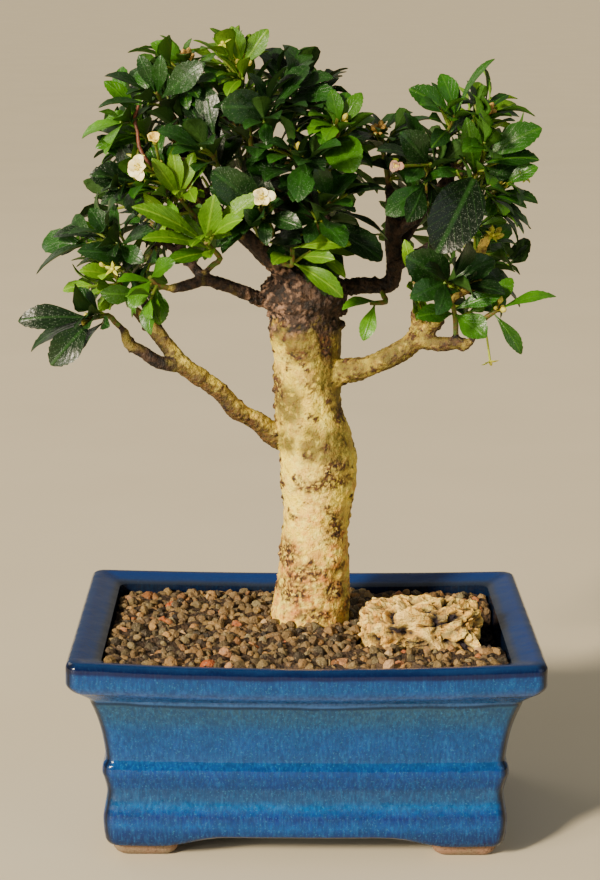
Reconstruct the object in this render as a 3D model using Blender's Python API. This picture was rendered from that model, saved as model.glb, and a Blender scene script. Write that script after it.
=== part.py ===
"""Fukien tea bonsai in a blue glazed pot, built in metres with +Z up.

Every size below is in millimetres and MM turns it into metres. Places are measured from the middle
of the pot (x to the right, y to the back) and from the surface that the pot's feet stand on. The
crown leans to one side of the pot, so at the end the whole plant is moved until the middle of its
box stands on the origin.
"""

import math
import random
from dataclasses import dataclass, field

import bmesh
import bpy
from mathutils import Matrix, Vector, noise
from mathutils.bvhtree import BVHTree

MM = 0.001
CLEARANCE = 0.35

# Pot
POT_WIDTH = 203.0
POT_DEPTH = 150.0
CORNER_RADIUS = 5.0
CORNER_STEPS = 3
LONG_STEPS = 4
SHORT_STEPS = 2
SIDE_BOW = 2.5
RIM_SAG = -2.0
BASE_ARCH = 4.4
FLOOR_UNDERSIDE = 12.0
FLOOR_TOP = 18.0
# How far the wall stands in from the rim's outer edge, and the height, from the lip down
OUTER_PROFILE = (
    (12.5, 91.2), (8.0, 92.6), (3.8, 93.9), (1.6, 93.8), (0.2, 92.2), (0.0, 89.8), (0.0, 84.2),
    (2.0, 80.7), (5.0, 78.2), (8.8, 74.8), (9.5, 72.8), (12.0, 65.5), (14.0, 57.0), (15.3, 46.5), (14.2, 43.5),
    (13.8, 40.0), (14.6, 37.0), (15.7, 31.0), (14.8, 24.5), (14.0, 19.0), (14.3, 13.0),
)
BASE_EDGE = (16.0, 7.0)
INNER_PROFILE = ((14.0, 90.2), (14.4, 75.0), (22.0, 55.0), (23.0, FLOOR_TOP))
RIM_TOP_RINGS = 8
FOOT_CENTRE = (69.5, 42.0)
FOOT_SIZE = (30.0, 28.0)
FOOT_TAPER = 0.9
DRAIN_X = 40.0
DRAIN_RADIUS = 7.0
MESH_SIDE = 26.0
MESH_THICKNESS = 1.2
MESH_HOLE = 7.5
MESH_PITCH = 10.5

# Filling
SOIL_TOP = 78.0
GRAVEL_LEVEL = 86.8
GRAVEL_RISE_TO_FRONT = 1.6
GRAVEL_MOUND = 1.6
STONE_HEIGHT = 1.6
STONE_PITCH = 6.6
BARE_CENTRE = (84.5, 1.0)
BARE_SIZE = (14.0, 62.0)

# Rock
ROCK_CENTRE = (50.5, -18.0, 92.0)
ROCK_HALF = (26.5, 13.8, 13.5)
ROCK_TURN = math.radians(-3)
ROCK_SQUARENESS = 0.62
ROCK_ROUGHNESS = 2.4
ROCK_SEAT = 1.6

# Wood: x, y, z and radius along each centre line
STUMP = ((1.5, 15, 55, 12.5), (2.3, 15, 79, 17.6), (2.3, 15, 86, 18.0))
TRUNK = (
    (2.3, 15, 86, 18.0), (3.1, 15, 95, 17.2), (3.9, 15, 106, 16.4), (4.1, 15, 117, 15.8),
    (4.4, 15, 128, 14.9), (5.0, 15, 137, 14.8), (5.5, 15, 146, 16.2), (5.4, 15, 154, 17.1),
    (5.5, 15, 161, 17.2), (4.6, 15, 169, 16.3), (3.0, 15, 177, 15.7), (1.0, 15, 186, 15.0),
    (0.4, 15, 196, 14.7), (0.4, 15, 206, 14.8), (0.0, 15, 215, 15.5), (-1.0, 15, 223, 15.8),
    (-1.6, 15, 231, 15.2), (-1.8, 15, 240, 14.0), (-1.8, 15, 248, 10.0),
)
TRUNK_AXIS = (3.0, 15.0)
TRUNK_ROUGHNESS = 1.3
BURL_CENTRE = (-1.6, 15, 237)
BURL_HALF = (19.0, 18.0, 13.0)
BURL_ROUGHNESS = 2.6
BRANCHES = {
    "left": ((0, 15, 166, 6.0), (-14, 15, 173, 5.4), (-22, 12, 180, 4.4), (-31, 9, 185.5, 4.2),
             (-39, 6, 195, 4.0), (-51, 3, 204, 4.1), (-56, 2, 208, 4.1)),
    "left_fork_up": ((-55, 2, 207, 3.6), (-63, 4, 217, 3.3), (-70, 6, 225, 2.9), (-76, 6, 231, 2.1)),
    "left_fork_out": ((-55, 2, 207, 3.4), (-65, -2, 209, 3.0), (-72, -4, 214, 2.8),
                      (-78, -6, 218, 2.5), (-80, -7, 224, 1.9)),
    "left_fork_back": ((-62, 4, 216, 2.6), (-70, 14, 228, 2.2), (-76, 22, 238, 1.6)),
    "upper_left": ((-8, 14, 235, 3.6), (-20, 9, 235, 3.3), (-27, 4, 239, 3.0), (-38, -2, 244, 2.8),
                   (-45, -6, 246, 2.7), (-53, -9, 244, 2.4), (-59, -11, 243, 1.9)),
    "upper_left_rise": ((-44, -6, 245, 2.3), (-54, -2, 256, 2.0), (-64, 2, 262, 1.6)),
    "right": ((2, 15, 197, 6.2), (15, 10, 203, 5.8), (25, 4, 206, 4.9), (35, 0, 211, 4.6),
              (43, -2, 216, 4.6), (49, -3, 222, 4.3)),
    "right_fork_up": ((48, -3, 221, 3.4), (48, -3, 229, 2.9), (48, -3, 234, 2.3)),
    "right_fork_mid": ((48, -3, 221, 3.3), (55, -6, 227, 2.8), (58, -7, 231, 2.2)),
    "right_fork_low": ((48, -3, 220, 3.6), (56, -8, 219, 3.2), (64, -12, 220, 2.8), (70, -14, 220, 2.3)),
    "right_fork_back": ((54, -5, 226, 2.6), (62, 8, 238, 2.4), (68, 14, 252, 1.8)),
    "upper_right": ((6, 17, 238, 4.2), (23, 22, 240, 3.7), (36, 25, 240, 3.7), (39, 26, 247, 3.9),
                    (38, 26, 264, 3.6), (38, 26, 276, 3.0), (36, 25, 283, 2.2)),
    "upper_right_front": ((38, 26, 262, 3.0), (50, 18, 274, 2.6), (60, 12, 288, 2.0), (66, 8, 294, 1.6)),
    "upper_right_back": ((38, 26, 252, 3.0), (48, 36, 266, 2.4), (60, 36, 284, 2.0), (66, 34, 292, 1.6)),
    "upper_right_side": ((39, 26, 248, 2.8), (54, 18, 258, 2.4), (66, 10, 266, 1.8)),
    "leader": ((-2, 15, 242, 7.0), (-7, 20, 264, 5.0), (-18, 22, 290, 3.8), (-29, 21, 310, 2.4)),
    "front_left": ((-6, 10, 242, 5.0), (-22, 3, 260, 3.4), (-42, 1, 278, 2.8), (-58, 6, 298, 1.8)),
    "back_left": ((-6, 22, 242, 5.0), (-27, 35, 259, 3.4), (-47, 43, 277, 2.8), (-55, 41, 302, 1.8)),
    "back": ((2, 26, 240, 5.0), (4, 40, 260, 3.2), (-2, 48, 284, 2.6), (-6, 45, 303, 1.8)),
    "front_right": ((5, 9, 242, 5.0), (8, 5, 262, 3.2), (4, 6, 282, 2.6), (-6, 8, 298, 1.8)),
}
TRUNK_BEVEL = 4
BRANCH_BEVEL = {
    "left": 2, "left_fork_up": 1, "left_fork_out": 1, "upper_left": 1, "right": 2, "right_fork_up": 1,
    "right_fork_mid": 1, "right_fork_low": 1, "upper_right": 1,
}
TWIG_RADIUS = 1.5
KNOBS_ON_TRUNK = 16
KNOBS_ON_BRANCHES = 6
KNOB_SEED = 5

# Growth
STEM_RADIUS = 1.25
STEM_LEAD = 4.0
LEAF_THICKNESS = 1.2
LEAF_WIDTH_SHARE = 0.46
LEAF_WIDEST_AT = 0.62
LEAF_ARCH = 0.07
LEAF_DROOP = 0.03
LEAF_FOLD = 0.16
SAFE = 0.3
GOLDEN_ANGLE = math.radians(137.5)
CROWN_HEART = Vector((-10, 18, 262))
BUD_LENGTH = 6.5
BUD_RADIUS = 1.5
FLOWER_RADIUS = 4.6
FLOWER_DEPTH = 3.2
CALYX_RADIUS = 1.3

COLOURS = {
    "glaze": ("#1f6fa8", 0.12),
    "soil": ("#2a211b", 0.95),
    "gravel": ("#8a6a4c", 0.8),
    "rock": ("#cdb79a", 0.9),
    "bark": ("#d9c68c", 0.75),
    "screen": ("#20221f", 0.6),
    "dark": ("#1f3d22", 0.3),
    "mid": ("#3a7423", 0.35),
    "lime": ("#7fae1f", 0.4),
    "petal": ("#f4efdc", 0.6),
}


@dataclass(frozen=True)
class Marked:
    """A leaf that shows in its own place: where on the stem it grows, its tip and its turn."""

    share: float
    tip: tuple
    width: float
    facing: float


@dataclass(frozen=True)
class Shoot:
    """A green stem from the end of a twig to its tip, and what grows on it."""

    name: str
    butt: tuple
    tip: tuple
    leaves: int
    length: float
    tone: str
    buds: int = 0
    marked: tuple = ()
    flowers: tuple = ()


SHOOTS = (
    Shoot("far_left", (-84, -8, 228), (-94, -13, 230), 1, 22, "dark", 1, (
        Marked(0.9, (-125, -16, 230), 12, 60), Marked(0.9, (-111, -20, 211), 14, 80),
        Marked(0.5, (-123, 4, 214), 10, 35), Marked(0.6, (-101, -10, 243), 8, 45))),
    Shoot("left_low", (-79, 6, 236), (-85, -2, 251), 2, 20, "lime", 2, (
        Marked(0.9, (-91, -6, 262), 9, 55), Marked(0.6, (-99, -6, 250), 9, 50),
        Marked(0.3, (-91, -5, 232), 8, 60))),
    Shoot("left_wing", (-70, 2, 256), (-88, -6, 264), 1, 24, "dark", 0, (
        Marked(0.2, (-98, -14, 260), 10, 45), Marked(0.9, (-118, -10, 250), 8, 5),
        Marked(1.0, (-111, -2, 265), 8, 30), Marked(0.9, (-94, -4, 277), 9, 50))),
    Shoot("left_shoulder", (-66, 7, 276), (-75, -2, 290), 3, 25, "dark", 0, (
        Marked(0.75, (-94, -8, 291), 13, 65), Marked(0.5, (-90, -2, 279), 10, 35))),
    Shoot("left_upper", (-64, 10, 297), (-73, 4, 314), 3, 23, "mid", 0, (
        Marked(0.9, (-88, 2, 314), 9, 50), Marked(0.6, (-92, 0, 303), 9, 45),
        Marked(1.0, (-88, 5, 331), 9, 40))),
    Shoot("left_crown", (-58, 8, 310), (-66, 1, 326), 3, 24, "dark", 0, (
        Marked(1.0, (-73, -2, 342), 7, 80), Marked(0.9, (-63, -5, 342), 7, 70),
        Marked(0.8, (-45, -10, 339), 12, 70))),
    Shoot("crown_left", (-48, 17, 322), (-53, 8, 339), 4, 22, "mid", 4, (
        Marked(0.9, (-68, 4, 347), 9, 60),)),
    Shoot("crown_top", (-31, 18, 320), (-29, 9, 337), 4, 22, "lime", 3, (
        Marked(1.0, (-34, 5, 354), 10, 70), Marked(0.95, (-18, 5, 353), 10, 70))),
    Shoot("crown_face", (-15, 4, 304), (-18, -8, 321), 3, 25, "dark", 0, (
        Marked(0.95, (-37, -20, 322), 15, 80),)),
    Shoot("crown_slope", (-10, 17, 314), (-8, 10, 330), 4, 24, "dark", 0, (
        Marked(0.8, (10, 5, 333), 10, 35), Marked(0.6, (12, -2, 325), 11, 50))),
    Shoot("crown_right", (6, 8, 296), (13, -2, 312), 2, 22, "mid", 2, (
        Marked(1.0, (9, -3, 328), 8, 80), Marked(0.9, (22, -4, 327), 8, 70),
        Marked(0.7, (19, -17, 295), 17, 85))),
    Shoot("valley", (35, 23, 289), (31, 12, 308), 4, 23, "dark", 4),
    Shoot("left_bloom", (-58, 0, 282), (-63, -13, 293), 2, 22, "mid", 2,
          flowers=((-71, -25, 296), (-65, -24, 307))),
    Shoot("lime_upright", (-51, -2, 269), (-55, -12, 282), 1, 20, "lime", 0, (
        Marked(0.9, (-66, -17, 300), 8, 75), Marked(1.0, (-58, -17, 304), 8, 80),
        Marked(1.0, (-49, -14, 302), 8, 60))),
    Shoot("lime_hub", (-41, -6, 253), (-44, -17, 264), 1, 24, "lime", 0, (
        Marked(0.8, (-74, -28, 281), 11, 50), Marked(0.6, (-70, -29, 268), 10, 40),
        Marked(1.0, (-40, -29, 285), 12, 80), Marked(1.0, (-21, -27, 286), 11, 55),
        Marked(0.5, (-61, -27, 256), 9, 50))),
    Shoot("centre_bloom", (-18, 0, 264), (-21, -14, 279), 2, 24, "dark", 1, (
        Marked(0.8, (-41, -28, 295), 15, 75),), flowers=((-20, -27, 284),)),
    Shoot("burl_leaves", (-9, -4, 253), (-7, -12, 261), 1, 24, "lime", 0, (
        Marked(0.4, (15, -17, 241), 11, 55), Marked(1.0, (18, -18, 264), 11, 45))),
    Shoot("centre_dark", (5, 2, 268), (9, -8, 281), 3, 26, "dark", 0, (
        Marked(0.3, (32, -8, 256), 15, 40), Marked(1.0, (3, -15, 297), 9, 75),
        Marked(0.8, (35, -3, 265), 9, 10))),
    Shoot("centre_fill", (0, 1, 287), (-5, -12, 300), 3, 24, "dark", 1),
    Shoot("left_fill", (-40, -2, 288), (-43, -14, 305), 4, 25, "dark"),
    Shoot("crown_fill", (-25, 10, 303), (-27, -2, 320), 4, 24, "dark"),
    Shoot("hanging", (34, 18, 236), (28, 10, 234), 0, 22, "mid", 0, (
        Marked(0.8, (27, 5, 213), 9, 70), Marked(0.5, (14, -2, 232), 9, 20))),
    Shoot("right_upright", (48, -4, 239), (46, -8, 246), 2, 20, "lime", 0, (
        Marked(1.0, (41, -14, 265), 7, 70),)),
    Shoot("right_face", (66, 2, 280), (71, -12, 293), 1, 26, "dark", 0, (
        Marked(0.95, (54, -33, 263), 22, 80),)),
    Shoot("right_crown", (60, 11, 300), (63, 3, 317), 3, 23, "mid", 0, (
        Marked(0.95, (43, 0, 329), 12, 60), Marked(1.0, (57, 5, 335), 10, 60),
        Marked(1.0, (81, 2, 343), 7, 20))),
    Shoot("right_top", (71, 10, 300), (76, 3, 317), 3, 21, "mid", 4),
    Shoot("right_wing", (68, 3, 287), (75, -7, 301), 1, 24, "mid", 0, (
        Marked(0.9, (99, -10, 313), 14, 60), Marked(0.8, (98, -12, 300), 11, 40),
        Marked(0.5, (66, -18, 317), 10, 75))),
    Shoot("right_dark", (54, 10, 284), (52, -4, 297), 2, 26, "dark", 0, (
        Marked(0.9, (39, -13, 311), 14, 65),), flowers=((38, -17, 297),)),
    Shoot("right_tail", (70, 4, 274), (81, -3, 286), 2, 20, "mid", 2, (
        Marked(0.9, (99, -6, 281), 8, 30), Marked(0.6, (94, -2, 273), 7, 40))),
    Shoot("right_star", (70, 6, 258), (79, -2, 265), 2, 21, "mid", 3),
    Shoot("right_round", (59, -9, 236), (61, -14, 248), 1, 24, "dark", 0, (
        Marked(0.8, (42, -27, 260), 17, 75), Marked(0.9, (80, -12, 257), 12, 60))),
    Shoot("right_gloss", (64, -13, 226), (62, -20, 238), 0, 22, "mid", 0, (
        Marked(0.6, (76, -28, 226), 13, 65), Marked(0.8, (83, -24, 244), 9, 60),
        Marked(0.6, (46, -30, 235), 10, 60))),
    Shoot("far_right", (74, -16, 228), (81, -20, 236), 0, 20, "mid", 2, (
        Marked(0.9, (106, -20, 243), 8, 25), Marked(0.8, (92, -25, 218), 7, 55),
        Marked(0.6, (88, -12, 249), 8, 50))),
    Shoot("left_under", (-62, -13, 244), (-68, -18, 249), 1, 22, "mid", 0, (
        Marked(0.8, (-76, -27, 237), 9, 55), Marked(0.6, (-63, -20, 229), 10, 75),
        Marked(0.3, (-38, -4, 235), 8, 5), Marked(0.9, (-57, -27, 258), 9, 60))),
    Shoot("back_left_low", (-78, 25, 241), (-91, 33, 250), 4, 22, "mid"),
    Shoot("back_left_wing", (-64, 36, 266), (-82, 46, 273), 5, 24, "dark"),
    Shoot("back_left_shoulder", (-62, 40, 292), (-76, 50, 304), 5, 24, "dark"),
    Shoot("back_left_crown", (-53, 38, 310), (-59, 42, 329), 5, 23, "mid"),
    Shoot("back_crown", (-30, 34, 316), (-29, 42, 334), 5, 23, "lime", 2),
    Shoot("back_crown_right", (-6, 40, 309), (3, 46, 325), 5, 23, "dark"),
    Shoot("back_right_shoulder", (10, 38, 288), (22, 46, 302), 5, 23, "mid"),
    Shoot("back_middle_high", (-26, 54, 290), (-32, 69, 300), 5, 24, "dark"),
    Shoot("back_middle_low", (-36, 50, 258), (-46, 63, 263), 4, 24, "mid"),
    Shoot("back_centre_low", (4, 50, 264), (8, 65, 271), 4, 23, "dark"),
    Shoot("right_back_low", (68, 20, 248), (81, 30, 247), 4, 22, "dark"),
    Shoot("right_back_crown", (69, 34, 296), (76, 40, 312), 5, 22, "lime"),
    Shoot("right_back_middle", (47, 44, 284), (47, 59, 295), 5, 23, "dark"),
    Shoot("right_back_inner", (44, 42, 258), (42, 58, 263), 4, 23, "mid"),
)


def linear(hex_colour):
    """The linear RGBA of an sRGB hex colour."""
    channels = [int(hex_colour[i:i + 2], 16) / 255 for i in (1, 3, 5)]
    return [c / 12.92 if c <= 0.04045 else ((c + 0.055) / 1.055) ** 2.4 for c in channels] + [1.0]


def material(name):
    """The Principled material of this name, made at its first use."""
    found = bpy.data.materials.get(name)
    if found:
        return found
    colour, roughness = COLOURS[name]
    made = bpy.data.materials.new(name)
    made.use_nodes = True
    shader = made.node_tree.nodes["Principled BSDF"]
    shader.inputs["Base Color"].default_value = linear(colour)
    shader.inputs["Roughness"].default_value = roughness
    shader.inputs["Metallic"].default_value = 0.0
    made.diffuse_color = linear(colour)
    return made


def new_collection(name):
    """A new collection under the scene's own."""
    made = bpy.data.collections.new(name)
    bpy.context.scene.collection.children.link(made)
    return made


def add_object(name, mesh, collection):
    """An object that shows this mesh, in this collection."""
    obj = bpy.data.objects.new(name, mesh)
    collection.objects.link(obj)
    return obj


def mesh_of(name, points, faces):
    """A mesh from points in millimetres."""
    mesh = bpy.data.meshes.new(name)
    mesh.from_pydata([Vector(p) * MM for p in points], [], faces)
    return mesh


def mesh_from_bmesh(name, bm):
    """A mesh from a bmesh whose points are in millimetres. The bmesh is freed."""
    bmesh.ops.scale(bm, vec=(MM, MM, MM), verts=bm.verts)
    mesh = bpy.data.meshes.new(name)
    bm.to_mesh(mesh)
    bm.free()
    return mesh


def evaluated_mesh(obj):
    """The object's mesh with its modifiers applied."""
    graph = bpy.context.evaluated_depsgraph_get()
    return bpy.data.meshes.new_from_object(obj.evaluated_get(graph))


def remove_object(obj):
    """Takes an object and its data out of the file."""
    data = obj.data
    bpy.data.objects.remove(obj)
    if isinstance(data, bpy.types.Mesh):
        bpy.data.meshes.remove(data)
    elif isinstance(data, bpy.types.Curve):
        bpy.data.curves.remove(data)


def combine(obj, operation, others, solver="EXACT"):
    """Applies one Boolean with all the other meshes, which are then removed."""
    group = bpy.data.collections.new("operands")
    bpy.context.scene.collection.children.link(group)
    operands = [add_object("operand", mesh, group) for mesh in others]
    modifier = obj.modifiers.new(operation.title(), "BOOLEAN")
    modifier.operation = operation
    modifier.operand_type = "COLLECTION"
    modifier.collection = group
    modifier.solver = solver
    bpy.context.view_layer.update()
    result = evaluated_mesh(obj)
    obj.modifiers.remove(modifier)
    old = obj.data
    obj.data = result
    bpy.data.meshes.remove(old)
    for operand in operands:
        remove_object(operand)
    bpy.data.collections.remove(group)


def finish(obj, tone, smooth=True):
    """Gives the object its one material and its shading."""
    obj.data.materials.clear()
    obj.data.materials.append(material(tone))
    if smooth:
        obj.data.shade_smooth()
        obj.data.set_sharp_from_angle(angle=math.radians(40))


def tube_mesh(path, bevel_resolution):
    """A tube through points of x, y, z and radius, with filled and welded caps."""
    curve = bpy.data.curves.new("tube", "CURVE")
    curve.dimensions = "3D"
    curve.bevel_depth = MM
    curve.bevel_resolution = bevel_resolution
    curve.use_fill_caps = True
    spline = curve.splines.new("POLY")
    spline.points.add(len(path) - 1)
    for point, (x, y, z, radius) in zip(spline.points, path):
        point.co = (x * MM, y * MM, z * MM, 1)
        point.radius = radius
    obj = bpy.data.objects.new("tube", curve)
    bpy.context.scene.collection.objects.link(obj)
    bpy.context.view_layer.update()
    mesh = evaluated_mesh(obj)
    remove_object(obj)
    bm = bmesh.new()
    bm.from_mesh(mesh)
    bmesh.ops.remove_doubles(bm, verts=bm.verts, dist=1e-6)
    bmesh.ops.recalc_face_normals(bm, faces=bm.faces)
    bm.to_mesh(mesh)
    bm.free()
    return mesh


def box_mesh(centre, size, bevel=0.0, top_scale=1.0):
    """A box, with its upright edges bevelled and its top drawn in or out."""
    bm = bmesh.new()
    bmesh.ops.create_cube(bm, size=1.0)
    bmesh.ops.scale(bm, vec=size, verts=bm.verts)
    for vertex in bm.verts:
        if vertex.co.z > 0:
            vertex.co.x *= top_scale
            vertex.co.y *= top_scale
    if bevel:
        upright = [e for e in bm.edges if abs(e.verts[0].co.z - e.verts[1].co.z) > size[2] / 2]
        bmesh.ops.bevel(bm, geom=upright, offset=bevel, segments=1, affect="EDGES")
    bmesh.ops.translate(bm, vec=centre, verts=bm.verts)
    return mesh_from_bmesh("box", bm)


def cylinder_mesh(centre, radius, height, sides, top_radius=None):
    """An upright cylinder or cone frustum round this centre."""
    bm = bmesh.new()
    bmesh.ops.create_cone(
        bm, cap_ends=True, segments=sides, radius1=radius,
        radius2=radius if top_radius is None else top_radius, depth=height,
    )
    bmesh.ops.translate(bm, vec=centre, verts=bm.verts)
    return mesh_from_bmesh("cylinder", bm)


def plan_ring(half_x, half_y, z, bow=0.0, lift=0.0):
    """A rounded rectangle whose long sides bow out, with the middle of each long side lifted."""
    flat = []
    corners = ((1, 1), (-1, 1), (-1, -1), (1, -1))
    for quarter, (sign_x, sign_y) in enumerate(corners):
        for step in range(CORNER_STEPS + 1):
            turn = math.pi / 2 * (quarter + step / CORNER_STEPS)
            flat.append((sign_x * (half_x - CORNER_RADIUS) + CORNER_RADIUS * math.cos(turn),
                         sign_y * (half_y - CORNER_RADIUS) + CORNER_RADIUS * math.sin(turn)))
        next_x, next_y = corners[(quarter + 1) % 4]
        turn = math.pi / 2 * (quarter + 1)
        end = (next_x * (half_x - CORNER_RADIUS) + CORNER_RADIUS * math.cos(turn),
               next_y * (half_y - CORNER_RADIUS) + CORNER_RADIUS * math.sin(turn))
        start = flat[-1]
        steps = LONG_STEPS if quarter % 2 == 0 else SHORT_STEPS
        for step in range(1, steps):
            share = step / steps
            flat.append((start[0] + (end[0] - start[0]) * share,
                         start[1] + (end[1] - start[1]) * share))
    ring = []
    for x, y in flat:
        middle = 1 - (x / half_x) ** 2
        ring.append((x, y * (1 + bow * middle / half_y), z + lift * middle))
    return ring


def loft(rings):
    """Closed skin over rings of equal count, with a flat cap on the first and the last."""
    count = len(rings[0])
    points = [point for ring in rings for point in ring]
    faces = []
    for level in range(len(rings) - 1):
        for i in range(count):
            j = (i + 1) % count
            low, high = level * count, (level + 1) * count
            faces.append((low + i, low + j, high + j, high + i))
    faces.append(tuple(reversed(range(count))))
    faces.append(tuple(range(len(points) - count, len(points))))
    return points, faces


def inner_rings(gap, top=None):
    """Rings up the pot's inner wall, set in by a gap, up to a height."""
    rings = []
    for recess, z in reversed(INNER_PROFILE):
        height = z + (gap if z == FLOOR_TOP else 0.0)
        if top is not None and height > top:
            break
        rings.append((POT_WIDTH / 2 - recess - gap, POT_DEPTH / 2 - recess - gap, height))
    if top is not None:
        half_x, half_y, _ = rings[-1]
        rings.append((half_x, half_y, top))
    return [plan_ring(half_x, half_y, z, bow=SIDE_BOW) for half_x, half_y, z in rings]


def build_pot(parts):
    """The fired pot: wall, rim, floor with drain holes and four feet."""
    rings = []
    for recess, z in INNER_PROFILE[::-1]:
        lift = RIM_SAG if z > 80 else 0.0
        rings.append(plan_ring(POT_WIDTH / 2 - recess, POT_DEPTH / 2 - recess, z, SIDE_BOW, lift))
    for index, (recess, z) in enumerate(OUTER_PROFILE):
        lift = RIM_SAG if index < RIM_TOP_RINGS else 0.0
        rings.append(plan_ring(POT_WIDTH / 2 - recess, POT_DEPTH / 2 - recess, z, SIDE_BOW, lift))
    recess, z = BASE_EDGE
    rings.append(plan_ring(POT_WIDTH / 2 - recess, POT_DEPTH / 2 - recess, z, SIDE_BOW, BASE_ARCH))
    recess += 5
    rings.append(plan_ring(POT_WIDTH / 2 - recess, POT_DEPTH / 2 - recess, FLOOR_UNDERSIDE, SIDE_BOW))
    points, faces = loft(rings)
    mesh = mesh_of("pot", points, [face[::-1] for face in faces])
    pot = add_object("pot", mesh, parts)
    foot_top = FLOOR_UNDERSIDE + 1.5
    feet = [
        box_mesh((side * FOOT_CENTRE[0], end * FOOT_CENTRE[1], foot_top / 2),
                 (FOOT_SIZE[0], FOOT_SIZE[1], foot_top), bevel=5.0, top_scale=1 / FOOT_TAPER)
        for side in (-1, 1) for end in (-1, 1)
    ]
    combine(pot, "UNION", feet)
    holes = [cylinder_mesh((side * DRAIN_X, 0, FLOOR_TOP / 2), DRAIN_RADIUS, 2 * FLOOR_TOP, 12)
             for side in (-1, 1)]
    combine(pot, "DIFFERENCE", holes)
    finish(pot, "glaze")


def build_drain_mesh(parts, name, side):
    """A square plastic screen that lies over one drain hole."""
    z = FLOOR_TOP + CLEARANCE + MESH_THICKNESS / 2
    plate = box_mesh((side * DRAIN_X, 0, z), (MESH_SIDE, MESH_SIDE, MESH_THICKNESS))
    screen = add_object(name, plate, parts)
    holes = [
        box_mesh((side * DRAIN_X + i * MESH_PITCH, j * MESH_PITCH, z), (MESH_HOLE, MESH_HOLE, 10))
        for i in (-0.5, 0.5) for j in (-0.5, 0.5)
    ]
    combine(screen, "DIFFERENCE", holes)
    finish(screen, "screen", smooth=False)


def stump_mesh(grow, top):
    """The buried stump, or with growth the plain socket that it stands in."""
    path = [(x, y, z, radius + grow) for x, y, z, radius in STUMP]
    x, y, z, radius = path[0]
    path[0] = (x, y, z - grow, radius)
    x, y, z, radius = path[-1]
    path[-1] = (x, y, top, radius)
    return tube_mesh(path, TRUNK_BEVEL)


def build_soil(parts):
    """Potting soil up to the gravel, with pockets for the screens and a socket for the stump."""
    points, faces = loft(inner_rings(CLEARANCE, SOIL_TOP))
    soil = add_object("soil", mesh_of("soil", points, faces), parts)
    pocket = MESH_SIDE + 2 * CLEARANCE
    depth = 2 * (MESH_THICKNESS + 2 * CLEARANCE)
    pockets = [box_mesh((side * DRAIN_X, 0, FLOOR_TOP + CLEARANCE), (pocket, pocket, depth))
               for side in (-1, 1)]
    combine(soil, "DIFFERENCE", pockets + [stump_mesh(CLEARANCE, SOIL_TOP + 4)])
    finish(soil, "soil", smooth=False)


def gravel_height(x, y):
    """Height of the top dressing, which heaps up round the trunk and toward the front."""
    to_trunk = math.hypot(x - TRUNK[0][0], y - TRUNK[0][1]) - TRUNK[0][3]
    heap = GRAVEL_MOUND * math.exp(-max(to_trunk, 0.0) / 14)
    return GRAVEL_LEVEL - GRAVEL_RISE_TO_FRONT * y / (POT_DEPTH / 2) + heap


def build_gravel(parts):
    """Top dressing raised stone by stone from one slab, cut to the pot, the trunk and the rock."""
    columns = round(POT_WIDTH / STONE_PITCH)
    rows = round(POT_DEPTH / STONE_PITCH)
    draw = random.Random(11)
    bm = bmesh.new()
    bmesh.ops.create_grid(bm, x_segments=columns, y_segments=rows, size=0.5)
    for vertex in bm.verts:
        column = round((vertex.co.x + 0.5) * columns)
        row = round((vertex.co.y + 0.5) * rows)
        x = vertex.co.x * POT_WIDTH + draw.uniform(-0.25, 0.25) * STONE_PITCH
        y = vertex.co.y * POT_DEPTH + draw.uniform(-0.25, 0.25) * STONE_PITCH
        raised = STONE_HEIGHT if (column + row) % 2 else -STONE_HEIGHT
        vertex.co = (x, y, gravel_height(x, y) + raised * draw.uniform(0.6, 1.1))
    bottom = bmesh.ops.extrude_face_region(bm, geom=bm.faces[:])
    for item in bottom["geom"]:
        if isinstance(item, bmesh.types.BMVert):
            item.co.z = SOIL_TOP + CLEARANCE
    flat = [item for item in bottom["geom"] if isinstance(item, bmesh.types.BMFace)]
    bmesh.ops.dissolve_faces(bm, faces=flat, use_verts=True)
    bmesh.ops.recalc_face_normals(bm, faces=bm.faces)
    gravel = add_object("gravel", mesh_from_bmesh("gravel", bm), parts)
    set_in = INNER_PROFILE[1][0] + CLEARANCE
    rings = [plan_ring(POT_WIDTH / 2 - set_in, POT_DEPTH / 2 - set_in, z, bow=SIDE_BOW - 0.2)
             for z in (SOIL_TOP, SOIL_TOP + 20)]
    points, faces = loft(rings)
    combine(gravel, "INTERSECT", [mesh_of("inside", points, faces)])
    seat = box_mesh((0, 0, 0), [2 * (half + ROCK_SEAT) for half in ROCK_HALF], bevel=6)
    seat.transform(Matrix.Translation(Vector(ROCK_CENTRE) * MM) @ Matrix.Rotation(ROCK_TURN, 4, "Z"))
    bare = box_mesh((BARE_CENTRE[0], BARE_CENTRE[1], SOIL_TOP + 8), (BARE_SIZE[0], BARE_SIZE[1], 30), bevel=4)
    socket = stump_mesh(1.0, SOIL_TOP + 20)
    combine(gravel, "DIFFERENCE", [seat, bare, socket])
    finish(gravel, "gravel", smooth=False)


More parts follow.
